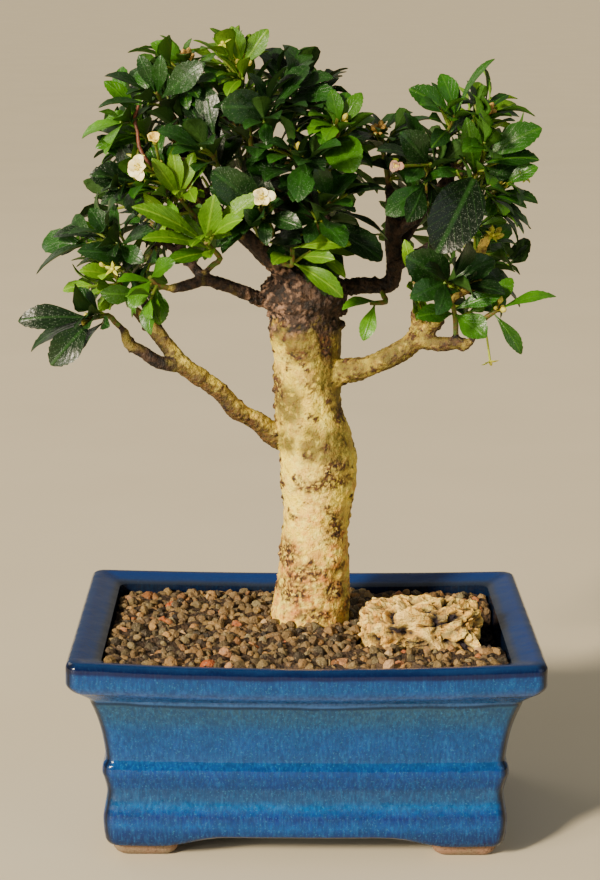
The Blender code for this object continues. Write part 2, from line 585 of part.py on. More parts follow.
def build_rock(parts):
    """A craggy stone that lies on the soil on a flat spot."""
    bm = bmesh.new()
    bmesh.ops.create_icosphere(bm, subdivisions=3, radius=1.0)
    for vertex in bm.verts:
        unit = vertex.co.copy()
        blocky = [math.copysign(abs(c) ** ROCK_SQUARENESS, c) for c in unit]
        length = max(abs(c) for c in blocky)
        crag = 1 + ROCK_ROUGHNESS / 14 * noise.noise(unit * 2.1 + Vector((3, 1, 7)))
        crag += ROCK_ROUGHNESS / 28 * noise.noise(unit * 5.3)
        spot = [blocky[i] / max(length, 1e-6) ** 0.35 * ROCK_HALF[i] * crag for i in range(3)]
        vertex.co = Vector(spot)
    bmesh.ops.rotate(bm, verts=bm.verts, cent=(0, 0, 0), matrix=Matrix.Rotation(ROCK_TURN, 3, "Z"))
    bmesh.ops.translate(bm, verts=bm.verts, vec=ROCK_CENTRE)
    for vertex in bm.verts:
        vertex.co.z = max(vertex.co.z, SOIL_TOP + CLEARANCE)
    rock = add_object("rock", mesh_from_bmesh("rock", bm), parts)
    finish(rock, "rock", smooth=False)


def rough(mesh, centre_of, amount, scale, above):
    """Pushes each point out from its centre line by a noise, above a height."""
    for vertex in mesh.vertices:
        spot = vertex.co / MM
        out = spot - centre_of(spot)
        if out.length < 1e-6 or spot.z < above:
            continue
        swell = noise.noise(spot * scale) + 0.5 * noise.noise(spot * scale * 2.7)
        fade = min(1.0, (spot.z - above) / 8)
        vertex.co = (spot + out.normalized() * amount * swell * fade) * MM


def along(path, share):
    """The point at this share of a path's length, with the path's direction and radius there."""
    pairs = [(Vector(a), Vector(b)) for a, b in zip(path, path[1:])]
    lengths = [(b.xyz - a.xyz).length for a, b in pairs]
    left = share * sum(lengths)
    index = 0
    while left > lengths[index] and index < len(pairs) - 1:
        left -= lengths[index]
        index += 1
    start, end = pairs[index]
    spot = start.lerp(end, left / lengths[index])
    return spot.xyz, (end.xyz - start.xyz).normalized(), spot.w


def nearest_on_wood(spot):
    """The point of a branch's centre line nearest to this spot."""
    nearest = None
    for path in BRANCHES.values():
        for start, end in zip(path, path[1:]):
            a, b = Vector(start[:3]), Vector(end[:3])
            share = max(0.0, min(1.0, (spot - a).dot(b - a) / (b - a).length_squared))
            near = a + (b - a) * share
            if nearest is None or (near - spot).length < (nearest - spot).length:
                nearest = near
    return nearest


def twig_path(shoot):
    """A twig from the nearest branch to the butt of a shoot, which it meets end to end."""
    butt = Vector(shoot.butt)
    root = nearest_on_wood(butt)
    end = butt - (butt - root).normalized() * CLEARANCE
    return ((*root, TWIG_RADIUS), (*end, STEM_RADIUS))


def knob_mesh(spot, out, radius):
    """A small blunt knob of bark that stands out from the wood."""
    bm = bmesh.new()
    bmesh.ops.create_cone(bm, cap_ends=True, segments=4, radius1=radius, radius2=radius * 0.6, depth=3 * radius)
    bmesh.ops.rotate(bm, verts=bm.verts, cent=(0, 0, 0), matrix=out.to_track_quat("Z", "Y").to_matrix())
    bmesh.ops.translate(bm, verts=bm.verts, vec=spot)
    return mesh_from_bmesh("knob", bm)


def knob_meshes():
    """Knobs and stubs where old shoots were cut, spread over the trunk and its branches."""
    draw = random.Random(KNOB_SEED)
    knobs = []
    for index in range(KNOBS_ON_TRUNK):
        share = 0.08 + 0.8 * (index + draw.random()) / KNOBS_ON_TRUNK
        spot, _, radius = along(TRUNK, share)
        turn = index * GOLDEN_ANGLE + draw.uniform(-0.4, 0.4)
        out = Vector((math.cos(turn), math.sin(turn), 0.0))
        knobs.append(knob_mesh(spot + out * (radius - 0.5), out, draw.uniform(1.6, 2.4)))
    for index in range(KNOBS_ON_BRANCHES):
        path = BRANCHES["left" if index % 2 else "right"]
        spot, ahead, radius = along(path, 0.3 + 0.65 * (index + draw.random()) / KNOBS_ON_BRANCHES)
        out = ahead.cross(Vector((0, 1, 0))).normalized()
        out.rotate(Matrix.Rotation(draw.uniform(0, 2 * math.pi), 3, ahead))
        knobs.append(knob_mesh(spot + out * (radius - 1.0), out, draw.uniform(1.3, 1.8)))
    return knobs


def build_trunk(parts):
    """The trunk with its burl, branches, twigs and knobs, grown as one piece."""
    body = tube_mesh(STUMP[:-1] + TRUNK, TRUNK_BEVEL)
    rough(body, lambda spot: Vector((*TRUNK_AXIS, spot.z)), TRUNK_ROUGHNESS, 0.07, 92)
    trunk = add_object("trunk", body, parts)
    bm = bmesh.new()
    bmesh.ops.create_icosphere(bm, subdivisions=2, radius=1.0)
    bmesh.ops.scale(bm, verts=bm.verts, vec=BURL_HALF)
    bmesh.ops.translate(bm, verts=bm.verts, vec=BURL_CENTRE)
    burl = mesh_from_bmesh("burl", bm)
    rough(burl, lambda spot: Vector(BURL_CENTRE), BURL_ROUGHNESS, 0.16, 200)
    branches = [tube_mesh(path, BRANCH_BEVEL.get(name, 0)) for name, path in BRANCHES.items()]
    twigs = [tube_mesh(twig_path(shoot), 0) for shoot in SHOOTS]
    combine(trunk, "UNION", [burl] + branches + twigs + knob_meshes())
    finish(trunk, "bark")


@dataclass
class Leaf:
    """A leaf in millimetres: its root on the stem, the way it points, and its upper side."""

    root: Vector
    ahead: Vector
    upper: Vector
    length: float
    width: float

    def points(self, grow=0.0, start=0.0):
        """Its thirteen corners. With grow it is fatter all round, and start moves the root out."""
        side = self.upper.cross(self.ahead)
        half = self.width / 2
        arch = LEAF_ARCH * self.length
        fold = LEAF_FOLD * half
        droop = -LEAF_DROOP * self.length
        thick = LEAF_THICKNESS / 2 + grow
        local = (
            (start, 0.7 + grow, 0), (start, -0.7 - grow, 0), (start, 0, 0.5 + grow), (start, 0, -0.5 - grow),
            (LEAF_WIDEST_AT, half + grow, arch + fold), (LEAF_WIDEST_AT, -half - grow, arch + fold),
            (LEAF_WIDEST_AT, 0, arch + thick), (LEAF_WIDEST_AT, 0, arch - thick),
            (0.94, 0.62 * half + grow, 0.2 * arch), (0.94, -0.62 * half - grow, 0.2 * arch),
            (0.91, 0.30 * half, 0.2 * arch), (0.91, -0.30 * half, 0.2 * arch),
            (1.0 + grow / self.length, 0, droop),
        )
        return [self.root + self.ahead * (u * self.length) + side * v + self.upper * w for u, v, w in local]


LEAF_TOP = ((2, 6, 4), (2, 4, 0), (2, 1, 5), (2, 5, 6), (6, 8, 4), (6, 10, 8), (6, 12, 10),
            (6, 5, 9), (6, 9, 11), (6, 11, 12))
LEAF_UNDER = tuple(tuple({2: 3, 6: 7}.get(i, i) for i in reversed(face)) for face in LEAF_TOP)
LEAF_FACES = LEAF_TOP + LEAF_UNDER + ((1, 2, 0), (1, 0, 3))


@dataclass
class Growth:
    """What has grown so far, so that nothing new crosses it."""

    grown: list = field(default_factory=list)

    def add(self, owner, points, faces):
        """Records a grown solid."""
        centre = sum(points, Vector()) / len(points)
        reach = max((p - centre).length for p in points)
        self.grown.append((owner, centre, reach, BVHTree.FromPolygons(points, faces)))

    def is_clear(self, owner, leaf):
        """Whether this leaf crosses nothing, apart from its own shoot close to its root."""
        whole = leaf.points(SAFE)
        outer = leaf.points(SAFE, 0.3)
        centre = sum(whole, Vector()) / len(whole)
        reach = max((p - centre).length for p in whole)
        trees = (BVHTree.FromPolygons(whole, LEAF_FACES), BVHTree.FromPolygons(outer, LEAF_FACES))
        for other, middle, other_reach, tree in self.grown:
            if (middle - centre).length > reach + other_reach:
                continue
            if trees[other == owner].overlap(tree):
                return False
        return True


def tube_points(path, sides=6):
    """Corners and faces of a plain tube round a path, to test against."""
    points, faces = [], []
    for index, (x, y, z, radius) in enumerate(path):
        before = Vector(path[max(index - 1, 0)][:3])
        after = Vector(path[min(index + 1, len(path) - 1)][:3])
        turn = (after - before).to_track_quat("Z", "Y")
        for corner in range(sides):
            angle = 2 * math.pi * corner / sides
            offset = Vector((math.cos(angle), math.sin(angle), 0)) * radius * 1.05
            points.append(Vector((x, y, z)) + turn @ offset)
    for level in range(len(path) - 1):
        for corner in range(sides):
            nearby = (corner + 1) % sides
            low, high = level * sides, (level + 1) * sides
            faces.append((low + corner, low + nearby, high + nearby, high + corner))
    return points, faces


def stem_path(shoot):
    """The green stem, which leaves its twig straight and then bends to its tip."""
    butt, tip = Vector(shoot.butt), Vector(shoot.tip)
    bend = butt + (butt - nearest_on_wood(butt)).normalized() * STEM_LEAD
    return ((*butt, STEM_RADIUS), (*bend, STEM_RADIUS), (*tip, STEM_RADIUS * 0.8))


def turned_upper(ahead, facing):
    """The upper side of a leaf: 0 faces the sky, and 90 faces the front."""
    turn = math.radians(facing)
    wanted = Vector((0, -math.sin(turn), math.cos(turn)))
    return (wanted - ahead * wanted.dot(ahead)).normalized()


def marked_leaf(shoot, marked, nudge):
    """A leaf whose place is known. A nudge turns it, swings its tip in depth and shortens it."""
    root, _, _ = along(stem_path(shoot), marked.share)
    swing, turn, shrink = nudge
    tip = Vector(marked.tip) + Vector((0, swing, 0))
    ahead = (tip - root).normalized()
    length = (tip - root).length * shrink
    return Leaf(root, ahead, turned_upper(ahead, marked.facing + turn), length, marked.width * shrink)


def ruled_leaf(shoot, index, count, attempt):
    """A leaf placed by the plant's rule: one after another round the stem, longest near its foot."""
    draw = random.Random(f"{shoot.name} {index} {attempt}")
    share = 0.22 + 0.78 * (index + 0.5) / count
    root, along_stem, _ = along(stem_path(shoot), min(share, 0.98))
    start = random.Random(shoot.name).uniform(0, 2 * math.pi)
    turn = start + (index + 0.37 * attempt) * GOLDEN_ANGLE + draw.uniform(-0.3, 0.3)
    across = along_stem.orthogonal().normalized()
    across.rotate(Matrix.Rotation(turn, 3, along_stem))
    splay = math.radians(78 - 38 * share + draw.uniform(-10, 10))
    outward = (root - CROWN_HEART).normalized()
    ahead = along_stem * math.cos(splay) + across * math.sin(splay) + outward * 0.35
    ahead.normalize()
    upper = along_stem * 0.6 + Vector((0, 0, 0.9)) + outward * 0.5
    upper = (upper - ahead * upper.dot(ahead)).normalized()
    length = shoot.length * (1.05 - 0.35 * share) * draw.uniform(0.85, 1.05) * (1 - 0.02 * attempt)
    return Leaf(root, ahead, upper, length, length * LEAF_WIDTH_SHARE * draw.uniform(0.95, 1.2))


NUDGES = [(swing, turn, shrink) for shrink in (1.0, 0.85) for swing in (0, -5, 5, -10, 10)
          for turn in (0, -18, 18)]
ATTEMPTS = 14


def bud_shapes(shoot):
    """Buds on short stalks round the tip of the stem, as spindles with sunk roots."""
    draw = random.Random(f"buds {shoot.name}")
    tip, ahead, _ = along(stem_path(shoot), 0.97)
    shapes = []
    for index in range(shoot.buds):
        across = ahead.orthogonal().normalized()
        across.rotate(Matrix.Rotation(index * GOLDEN_ANGLE + draw.uniform(0, 0.5), 3, ahead))
        way = (ahead + across * draw.uniform(0.35, 0.8)).normalized()
        length = BUD_LENGTH * draw.uniform(0.85, 1.25)
        side = way.orthogonal().normalized()
        ring = [tip + way * (0.72 * length) + Matrix.Rotation(quarter * math.pi / 2, 3, way) @ side * BUD_RADIUS
                for quarter in range(4)]
        points = [tip.copy()] + ring + [tip + way * length]
        faces = [(0, 1 + (i + 1) % 4, 1 + i) for i in range(4)] + [(5, 1 + i, 1 + (i + 1) % 4) for i in range(4)]
        shapes.append((points, faces))
    return shapes


def calyx_path(shoot, centre):
    """The stalk and calyx from the stem's tip to the foot of a flower."""
    tip, _, _ = along(stem_path(shoot), 0.95)
    centre = Vector(centre)
    ahead = (centre - tip).normalized()
    foot = centre - ahead * CLEARANCE
    neck = foot - ahead * 2.5
    return ((*tip, 0.7), (*neck, 0.7), (*foot, CALYX_RADIUS)), centre, ahead


def corolla(centre, ahead):
    """A five-lobed flower on its foot, open along its own direction."""
    turn = (ahead + Vector((0, -0.5, 0.1))).to_track_quat("Z", "Y")
    points, count = [], 15
    for level, (height, radius) in enumerate(((0.0, 1.1), (FLOWER_DEPTH, FLOWER_RADIUS))):
        for corner in range(count):
            angle = 2 * math.pi * corner / count
            lobe = 0.52 if level and corner % 3 == 0 else 1.0
            spot = Vector((math.cos(angle), math.sin(angle), 0)) * radius * lobe
            points.append(centre + turn @ (spot + Vector((0, 0, height * (0.85 if lobe < 1 else 1)))))
    middle = len(points)
    points.append(centre + turn @ Vector((0, 0, FLOWER_DEPTH * 0.6)))
    foot = len(points)
    points.append(centre)
    faces = []
    for i in range(count):
        j = (i + 1) % count
        faces += [(i, j, count + j), (i, count + j, count + i), (count + i, count + j, middle), (j, i, foot)]
    return points, faces


def grow_crown():
    """Every leaf of every shoot, by name. The marked leaves come first, then the others in turn."""
    growth = Growth()
    for path in (STUMP[:-1] + TRUNK,) + tuple(BRANCHES.values()):
        growth.add("wood", *tube_points(path, 10))
    leaves = {}
    for shoot in SHOOTS:
        leaves[shoot.name] = []
        growth.add("wood", *tube_points(twig_path(shoot)))
        growth.add(shoot.name, *tube_points(stem_path(shoot)))
        for points, faces in bud_shapes(shoot):
            growth.add(shoot.name, points, faces)
        for centre in shoot.flowers:
            path, seat, ahead = calyx_path(shoot, centre)
            growth.add(shoot.name, *tube_points(path))
            growth.add("flower", *corolla(seat, ahead))
    for shoot in SHOOTS:
        for marked in shoot.marked:
            trials = (marked_leaf(shoot, marked, nudge) for nudge in NUDGES)
            place_first_clear(growth, shoot, leaves, trials)
    for index in range(max(shoot.leaves for shoot in SHOOTS)):
        for shoot in SHOOTS:
            if index < shoot.leaves:
                trials = (ruled_leaf(shoot, index, shoot.leaves, attempt) for attempt in range(ATTEMPTS))
                place_first_clear(growth, shoot, leaves, trials)
    return leaves


def place_first_clear(growth, shoot, leaves, trials):
    """Keeps the first of these trials that crosses nothing. With none, the leaf is left out."""
    for leaf in trials:
        if growth.is_clear(shoot.name, leaf):
            growth.add(shoot.name, leaf.points(), LEAF_FACES)
            leaves[shoot.name].append(leaf)
            return


def build_shoot(parts, shoot, leaves):
    """One green stem with its leaves, buds and calyces in one body."""
    stem = add_object("shoot_" + shoot.name, tube_mesh(stem_path(shoot), 0), parts)
    pieces = [mesh_of("leaf", leaf.points(), LEAF_FACES) for leaf in leaves]
    pieces += [mesh_of("bud", points, faces) for points, faces in bud_shapes(shoot)]
    pieces += [tube_mesh(calyx_path(shoot, centre)[0], 0) for centre in shoot.flowers]
    combine(stem, "UNION", pieces)
    finish(stem, shoot.tone, smooth=False)


def build_flowers(parts):
    """Each white corolla, seated on its calyx."""
    for shoot in SHOOTS:
        for number, centre in enumerate(shoot.flowers, start=1):
            _, seat, ahead = calyx_path(shoot, centre)
            points, faces = corolla(seat, ahead)
            flower = add_object(f"flower_{shoot.name}_{number}", mesh_of("flower", points, faces), parts)
            finish(flower, "petal", smooth=False)


def stand_on_origin(parts):
    """Parents every part to one empty, which centres the plant's box on the origin."""
    corners = [obj.matrix_world @ vertex.co for obj in parts.objects for vertex in obj.data.vertices]
    middle = [(min(c[i] for c in corners) + max(c[i] for c in corners)) / 2 for i in range(2)]
    stand = bpy.data.objects.new("bonsai_stand", None)
    bpy.context.scene.collection.objects.link(stand)
    stand.location = (-middle[0], -middle[1], -min(c.z for c in corners))
    for obj in parts.objects:
        obj.parent = stand
    return stand


def main():
    """Builds every part of the bonsai."""
    for obj in list(bpy.data.objects):
        bpy.data.objects.remove(obj)
    parts = new_collection("fukien_tea_bonsai")
    build_pot(parts)
    build_drain_mesh(parts, "drain_mesh_left", -1)
    build_drain_mesh(parts, "drain_mesh_right", 1)
    build_soil(parts)
    build_gravel(parts)
    build_rock(parts)
    build_trunk(parts)
    leaves = grow_crown()
    for shoot in SHOOTS:
        build_shoot(parts, shoot, leaves[shoot.name])
    build_flowers(parts)
    stand_on_origin(parts)


main()
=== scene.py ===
"""Looks of a fukien tea bonsai in its blue glazed pot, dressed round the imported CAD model.

Sizes are in millimetres and MM turns them into metres. Places are measured, as in the part's source,
from the middle of the pot and from the surface that its feet stand on. HOME is that middle in the
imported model's frame, which is centred on the whole plant.
"""

import logging
import math
import random
from dataclasses import dataclass, field
from enum import Enum
from typing import Any, Iterable, Optional, Sequence

import bmesh
import bpy
import numpy as np
from mathutils import Euler, Matrix, Vector, noise
from mathutils.bvhtree import BVHTree
from mathutils.kdtree import KDTree


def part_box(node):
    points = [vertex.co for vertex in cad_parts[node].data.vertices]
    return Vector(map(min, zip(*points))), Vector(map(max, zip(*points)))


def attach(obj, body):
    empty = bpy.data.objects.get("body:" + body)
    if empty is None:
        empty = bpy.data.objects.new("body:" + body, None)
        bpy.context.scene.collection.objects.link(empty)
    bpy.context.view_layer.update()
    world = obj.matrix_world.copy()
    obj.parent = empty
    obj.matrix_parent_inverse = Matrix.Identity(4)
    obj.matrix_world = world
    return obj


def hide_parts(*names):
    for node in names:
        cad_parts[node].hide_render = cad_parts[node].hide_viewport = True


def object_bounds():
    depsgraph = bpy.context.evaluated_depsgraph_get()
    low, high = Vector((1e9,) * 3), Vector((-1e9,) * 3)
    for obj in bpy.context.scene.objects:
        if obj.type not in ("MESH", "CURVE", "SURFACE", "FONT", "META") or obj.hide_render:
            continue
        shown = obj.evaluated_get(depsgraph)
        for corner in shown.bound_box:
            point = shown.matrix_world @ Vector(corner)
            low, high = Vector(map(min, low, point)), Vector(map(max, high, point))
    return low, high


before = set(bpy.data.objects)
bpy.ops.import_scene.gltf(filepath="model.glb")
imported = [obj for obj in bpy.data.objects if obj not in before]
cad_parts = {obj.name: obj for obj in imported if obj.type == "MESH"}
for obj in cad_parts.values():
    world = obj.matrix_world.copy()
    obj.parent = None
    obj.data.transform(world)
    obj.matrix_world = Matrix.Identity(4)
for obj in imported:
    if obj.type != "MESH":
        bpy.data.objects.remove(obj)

LOG = logging.getLogger("bonsai")
MM = 0.001
CAD_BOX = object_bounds()
POT_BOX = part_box("pot")
HOME = Vector(((POT_BOX[0].x + POT_BOX[1].x) / 2, (POT_BOX[0].y + POT_BOX[1].y) / 2, 0.0))
GOLDEN_ANGLE = math.radians(137.5)
UP = Vector((0, 0, 1))

Point = Sequence[float]
Face = tuple[int, ...]
Shape = tuple[list[Vector], list[Face]]


# Helpers for meshes and nodes

def linear(hex_colour: str) -> list[float]:
    """Turns an sRGB hex colour into linear RGBA.

    Args:
        hex_colour: The colour as "#rrggbb".

    Returns:
        The four linear channels, with alpha 1.
    """
    channels = [int(hex_colour[i:i + 2], 16) / 255 for i in (1, 3, 5)]
    return [c / 12.92 if c <= 0.04045 else ((c + 0.055) / 1.055) ** 2.4 for c in channels] + [1.0]


def per_mm(size: float) -> float:
    """The texture scale at which one pattern cell is this many millimetres across."""
    return 1000.0 / size


def add_node(tree: bpy.types.NodeTree, kind: str, inputs: Optional[dict] = None,
             **settings: Any) -> bpy.types.Node:
    """Adds a node with its settings, values and links.

    Args:
        tree: The tree that takes the node.
        kind: The node's type name.
        inputs: By the name or number of each input, the socket to link from, a hex colour or a constant.
        **settings: The node's own properties.

    Returns:
        The new node.
    """
    node = tree.nodes.new(kind)
    for key, value in settings.items():
        setattr(node, key, value)
    for key, value in (inputs or {}).items():
        if isinstance(value, bpy.types.NodeSocket):
            tree.links.new(value, node.inputs[key])
        else:
            is_colour = isinstance(value, str) and value.startswith("#")
            node.inputs[key].default_value = linear(value) if is_colour else value
    return node


def clamped(value: float, low: float = 0.0, high: float = 1.0) -> float:
    """The value, kept between two limits."""
    return max(low, min(high, value))


def rumble(spot: Vector, *layers: tuple[float, float]) -> float:
    """Noise in layers, each with its scale per millimetre and its weight."""
    return sum(weight * noise.noise(spot * scale) for scale, weight in layers)


def off_centre(spot: Vector, patch: Point, power: int = 2) -> float:
    """How far a spot lies from a patch, given as x, z and half sizes: 1 stands for its edge."""
    x, z, wide, high = patch
    return ((spot.x - x) / wide) ** power + ((spot.z - z) / high) ** power


def squared_to(ahead: Vector, wanted: Vector) -> Vector:
    """The direction at right angles to ahead that is nearest to the wanted one."""
    return (wanted - ahead * wanted.dot(ahead)).normalized()


def point_tree(spots: Sequence[Vector]) -> KDTree:
    """A search tree of these points, numbered in their order."""
    tree = KDTree(len(spots))
    for index, spot in enumerate(spots):
        tree.insert(spot, index)
    tree.balance()
    return tree


def turned_across(ahead: Vector, turn: float) -> Vector:
    """A direction at right angles to ahead, turned round it by this angle."""
    across = ahead.orthogonal().normalized()
    across.rotate(Matrix.Rotation(turn, 3, ahead))
    return across


def row_point(spot: Point) -> Vector:
    """A place in millimetres from the pot's middle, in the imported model's metres."""
    return Vector(spot[:3]) * MM + HOME


def along(path: Sequence[Point], share: float) -> tuple[Vector, Vector, float]:
    """Finds a spot on a path.

    Args:
        path: Points of x, y, z and radius.
        share: How far along the path's length, from 0 to 1.

    Returns:
        The spot, the path's direction and its radius there.
    """
    pairs = [(Vector(a), Vector(b)) for a, b in zip(path, path[1:])]
    lengths = [(b.xyz - a.xyz).length for a, b in pairs]
    left = share * sum(lengths)
    index = 0
    while left > lengths[index] and index < len(pairs) - 1:
        left -= lengths[index]
        index += 1
    start, end = pairs[index]
    spot = start.lerp(end, left / lengths[index])
    return spot.xyz, (end.xyz - start.xyz).normalized(), spot.w


def smooth_path(path: Sequence[Point], step: float) -> list[Vector]:
    """Rounds a path off with a Catmull-Rom curve.

    Args:
        path: Points of x, y, z and radius.
        step: About how far apart the new points stand, in millimetres.

    Returns:
        Points of x, y, z and radius along the curve.
    """
    knots = [Vector(p) for p in path]
    knots = [2 * knots[0] - knots[1]] + knots + [2 * knots[-1] - knots[-2]]
    points = []
    for before, start, end, after in zip(knots, knots[1:], knots[2:], knots[3:]):
        pieces = max(1, round((end.xyz - start.xyz).length / step))
        for piece in range(pieces):
            t = piece / pieces
            points.append(0.5 * (2 * start + (end - before) * t
                                 + (2 * before - 5 * start + 4 * end - after) * t ** 2
                                 + (3 * start - before - 3 * end + after) * t ** 3))
    return points + [knots[-2]]


def ring_faces(rings: int, count: int, inward: bool = False) -> list[Face]:
    """Makes the faces between rings of points that follow one another.

    Args:
        rings: How many rings there are.
        count: How many points each has.
        inward: Whether the faces are turned over.

    Returns:
        The faces.
    """
    faces: list[Face] = []
    for low in range(0, (rings - 1) * count, count):
        for i in range(count):
            j = (i + 1) % count
            face = (low + i, low + j, low + count + j, low + count + i)
            faces.append(face[:1] + face[:0:-1] if inward else face)
    return faces


def tube(path: Sequence[Point], sides: int) -> Shape:
    """Makes a closed tube.

    Args:
        path: Points of x, y, z and radius.
        sides: How many sides its section has.

    Returns:
        Its points and faces.
    """
    points = []
    normal = Vector((0.3, -1, 0.2))
    for index, spot in enumerate(path):
        before = Vector(path[max(index - 1, 0)][:3])
        after = Vector(path[min(index + 1, len(path) - 1)][:3])
        ahead = (after - before).normalized()
        normal = (normal - ahead * normal.dot(ahead)).normalized()
        side = ahead.cross(normal)
        for corner in range(sides):
            angle = 2 * math.pi * corner / sides
            points.append(Vector(spot[:3]) + (normal * math.cos(angle) + side * math.sin(angle)) * spot[3])
    faces = ring_faces(len(path), sides)
    faces.append(tuple(reversed(range(sides))))
    faces.append(tuple(range(len(points) - sides, len(points))))
    return points, faces


def ball(centre: Point, size: Point, level: int, turn: Optional[Matrix] = None) -> Shape:
    """Makes a closed ball or pebble.

    Args:
        centre: Its middle.
        size: Its half sizes.
        level: Subdivisions of the icosphere.
        turn: How it is turned, if at all.

    Returns:
        Its points and faces.
    """
    bm = bmesh.new()
    bmesh.ops.create_icosphere(bm, subdivisions=level, radius=1.0)
    points = [Vector((v.co.x * size[0], v.co.y * size[1], v.co.z * size[2])) for v in bm.verts]
    faces = [tuple(v.index for v in face.verts) for face in bm.faces]
    bm.free()
    return [(turn @ p if turn else p) + Vector(centre) for p in points], faces


def mesh_object(name: str, points: Iterable[Point], faces: Sequence[Face]) -> bpy.types.Object:
    """Links a new object from points in millimetres, placed in its mesh.

    Args:
        name: The object's name.
        points: Its points, from the pot's middle.
        faces: Its faces.

    Returns:
        The object.
    """
    mesh = bpy.data.meshes.new(name)
    mesh.from_pydata([row_point(p) for p in points], [], faces)
    obj = bpy.data.objects.new(name, mesh)
    bpy.context.scene.collection.objects.link(obj)
    return obj


def applied(obj: bpy.types.Object) -> None:
    """Makes the object's modifiers part of its mesh and takes them off."""
    bpy.context.view_layer.update()
    result = bpy.data.meshes.new_from_object(obj.evaluated_get(bpy.context.evaluated_depsgraph_get()))
    obj.modifiers.clear()
    obj.data = result


def write_attribute(mesh: bpy.types.Mesh, name: str, values: Sequence[float]) -> None:
    """Stores one number for each point of a mesh."""
    layer = mesh.attributes.new(name, "FLOAT", "POINT")
    layer.data.foreach_set("value", np.asarray(values, np.float32))


def dress(obj: bpy.types.Object, materials: Sequence[bpy.types.Material],
          nodes: Sequence[str], angle: float) -> None:
    """Finishes a piece: materials, shading and its place in the frame.

    Args:
        obj: The piece.
        materials: Its materials, in the order of its faces' numbers.
        nodes: The CAD nodes that the piece stands for.
        angle: Edges sharper than this many degrees stay crisp. At 0 every face is flat.
    """
    if not obj.data.materials:
        for material in materials:
            obj.data.materials.append(material)
    if angle:
        obj.data.shade_smooth()
        obj.data.set_sharp_from_angle(angle=math.radians(angle))
    if nodes:
        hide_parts(*nodes)
    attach(obj, "root")
    LOG.info("%s: %d faces", obj.name, len(obj.data.polygons))


# Patterns and finishes

@dataclass(frozen=True)
class Pattern:
    """A number from 0 to 1 all over a surface, which can be multiplied, added to or taken from."""

    def __mul__(self, other: Any) -> "Joined":
        """This pattern times another or a number."""
        return Joined("MULTIPLY", self, other)

    def __add__(self, other: Any) -> "Joined":
        """This pattern plus another or a number."""
        return Joined("ADD", self, other)

    def __sub__(self, other: Any) -> "Joined":
        """This pattern less another or a number."""
        return Joined("SUBTRACT", self, other)

    def nodes(self, paint: "Paint") -> Any:
        """Adds the pattern's nodes to a material and gives their last socket."""
        raise NotImplementedError


@dataclass(frozen=True)
class Joined(Pattern):
    """Two patterns or numbers joined by arithmetic and kept from 0 to 1."""

    operation: str
    first: Any
    second: Any

    def nodes(self, paint: "Paint") -> Any:
        """Adds the arithmetic."""
        return paint.add("ShaderNodeMath", {0: self.first, 1: self.second}, operation=self.operation,
                         use_clamp=True).outputs[0]


@dataclass(frozen=True)
class Mark(Pattern):
    """One of the mesh's own attributes."""

    name: str

    def nodes(self, paint: "Paint") -> Any:
        """Reads the attribute."""
        return paint.add("ShaderNodeAttribute", attribute_name=self.name).outputs["Fac"]


@dataclass(frozen=True)
class Cut(Pattern):
    """Another pattern between two of its values, stretched to run from first to last."""

    source: Any
    low: float = 0.0
    high: float = 1.0
    first: float = 0.0
    last: float = 1.0

    def nodes(self, paint: "Paint") -> Any:
        """Adds the cut."""
        return paint.add("ShaderNodeMapRange", {
            "Value": self.source, "From Min": self.low, "From Max": self.high, "To Min": self.first,
            "To Max": self.last}).outputs[0]


@dataclass(frozen=True)
class Grain(Pattern):
    """Noise on Object coordinates, cut to a range, with patches about size millimetres wide.

    detail is its octaves of finer noise, and stretch how many times closer it is packed along each axis.
    """

    size: float
    low: float
    high: float
    detail: float = 3.0
    stretch: tuple = ()

    def nodes(self, paint: "Paint") -> Any:
        """Adds the noise and its cut."""
        place = paint.add("ShaderNodeTexCoord").outputs["Object"]
        if self.stretch:
            place = paint.add("ShaderNodeMapping", {"Vector": place, "Scale": self.stretch}).outputs[0]
        cloud = paint.add("ShaderNodeTexNoise", {
            "Vector": place, "Scale": per_mm(self.size), "Detail": self.detail}).outputs["Fac"]
        return paint.socket(Cut(cloud, self.low, self.high))


@dataclass(frozen=True)
class Cells(Pattern):
    """Voronoi cells size millimetres apart on Object coordinates: dots where low is over high."""

    size: float
    low: float
    high: float

    def nodes(self, paint: "Paint") -> Any:
        """Adds the cells and their cut."""
        place = paint.add("ShaderNodeTexCoord").outputs["Object"]
        net = paint.add("ShaderNodeTexVoronoi", {"Vector": place, "Scale": per_mm(self.size)})
        return paint.socket(Cut(net.outputs["Distance"], self.low, self.high))


@dataclass(frozen=True)
class Bands(Pattern):
    """Colours read off a scale: the place of each on it, and the colour there."""

    level: Any
    stops: tuple

    def nodes(self, paint: "Paint") -> Any:
        """Adds the scale."""
        node = paint.add("ShaderNodeValToRGB", {"Fac": self.level})
        scale = node.color_ramp.elements
        scale.remove(scale[1])
        scale[0].position, scale[0].color = self.stops[0][0], linear(self.stops[0][1])
        for position, colour in self.stops[1:]:
            scale.new(position).color = linear(colour)
        return node.outputs[0]


@dataclass(frozen=True)
class Midrib(Pattern):
    """A leaf's midrib, on the blade's own map: U runs along the leaf and V across it."""

    def across(self, paint: "Paint") -> tuple[Any, Any]:
        """How far each spot lies from the midrib, and how far along the leaf."""
        place = paint.add("ShaderNodeUVMap", uv_map="blade").outputs[0]
        parts = paint.add("ShaderNodeSeparateXYZ", {0: place})
        off = paint.add("ShaderNodeMath", {0: parts.outputs[1], 1: 0.5}, operation="SUBTRACT").outputs[0]
        return paint.add("ShaderNodeMath", {0: off}, operation="ABSOLUTE").outputs[0], parts.outputs[0]

    def nodes(self, paint: "Paint") -> Any:
        """Adds the line."""
        return paint.socket(Cut(self.across(paint)[0], 0.065, 0.02))


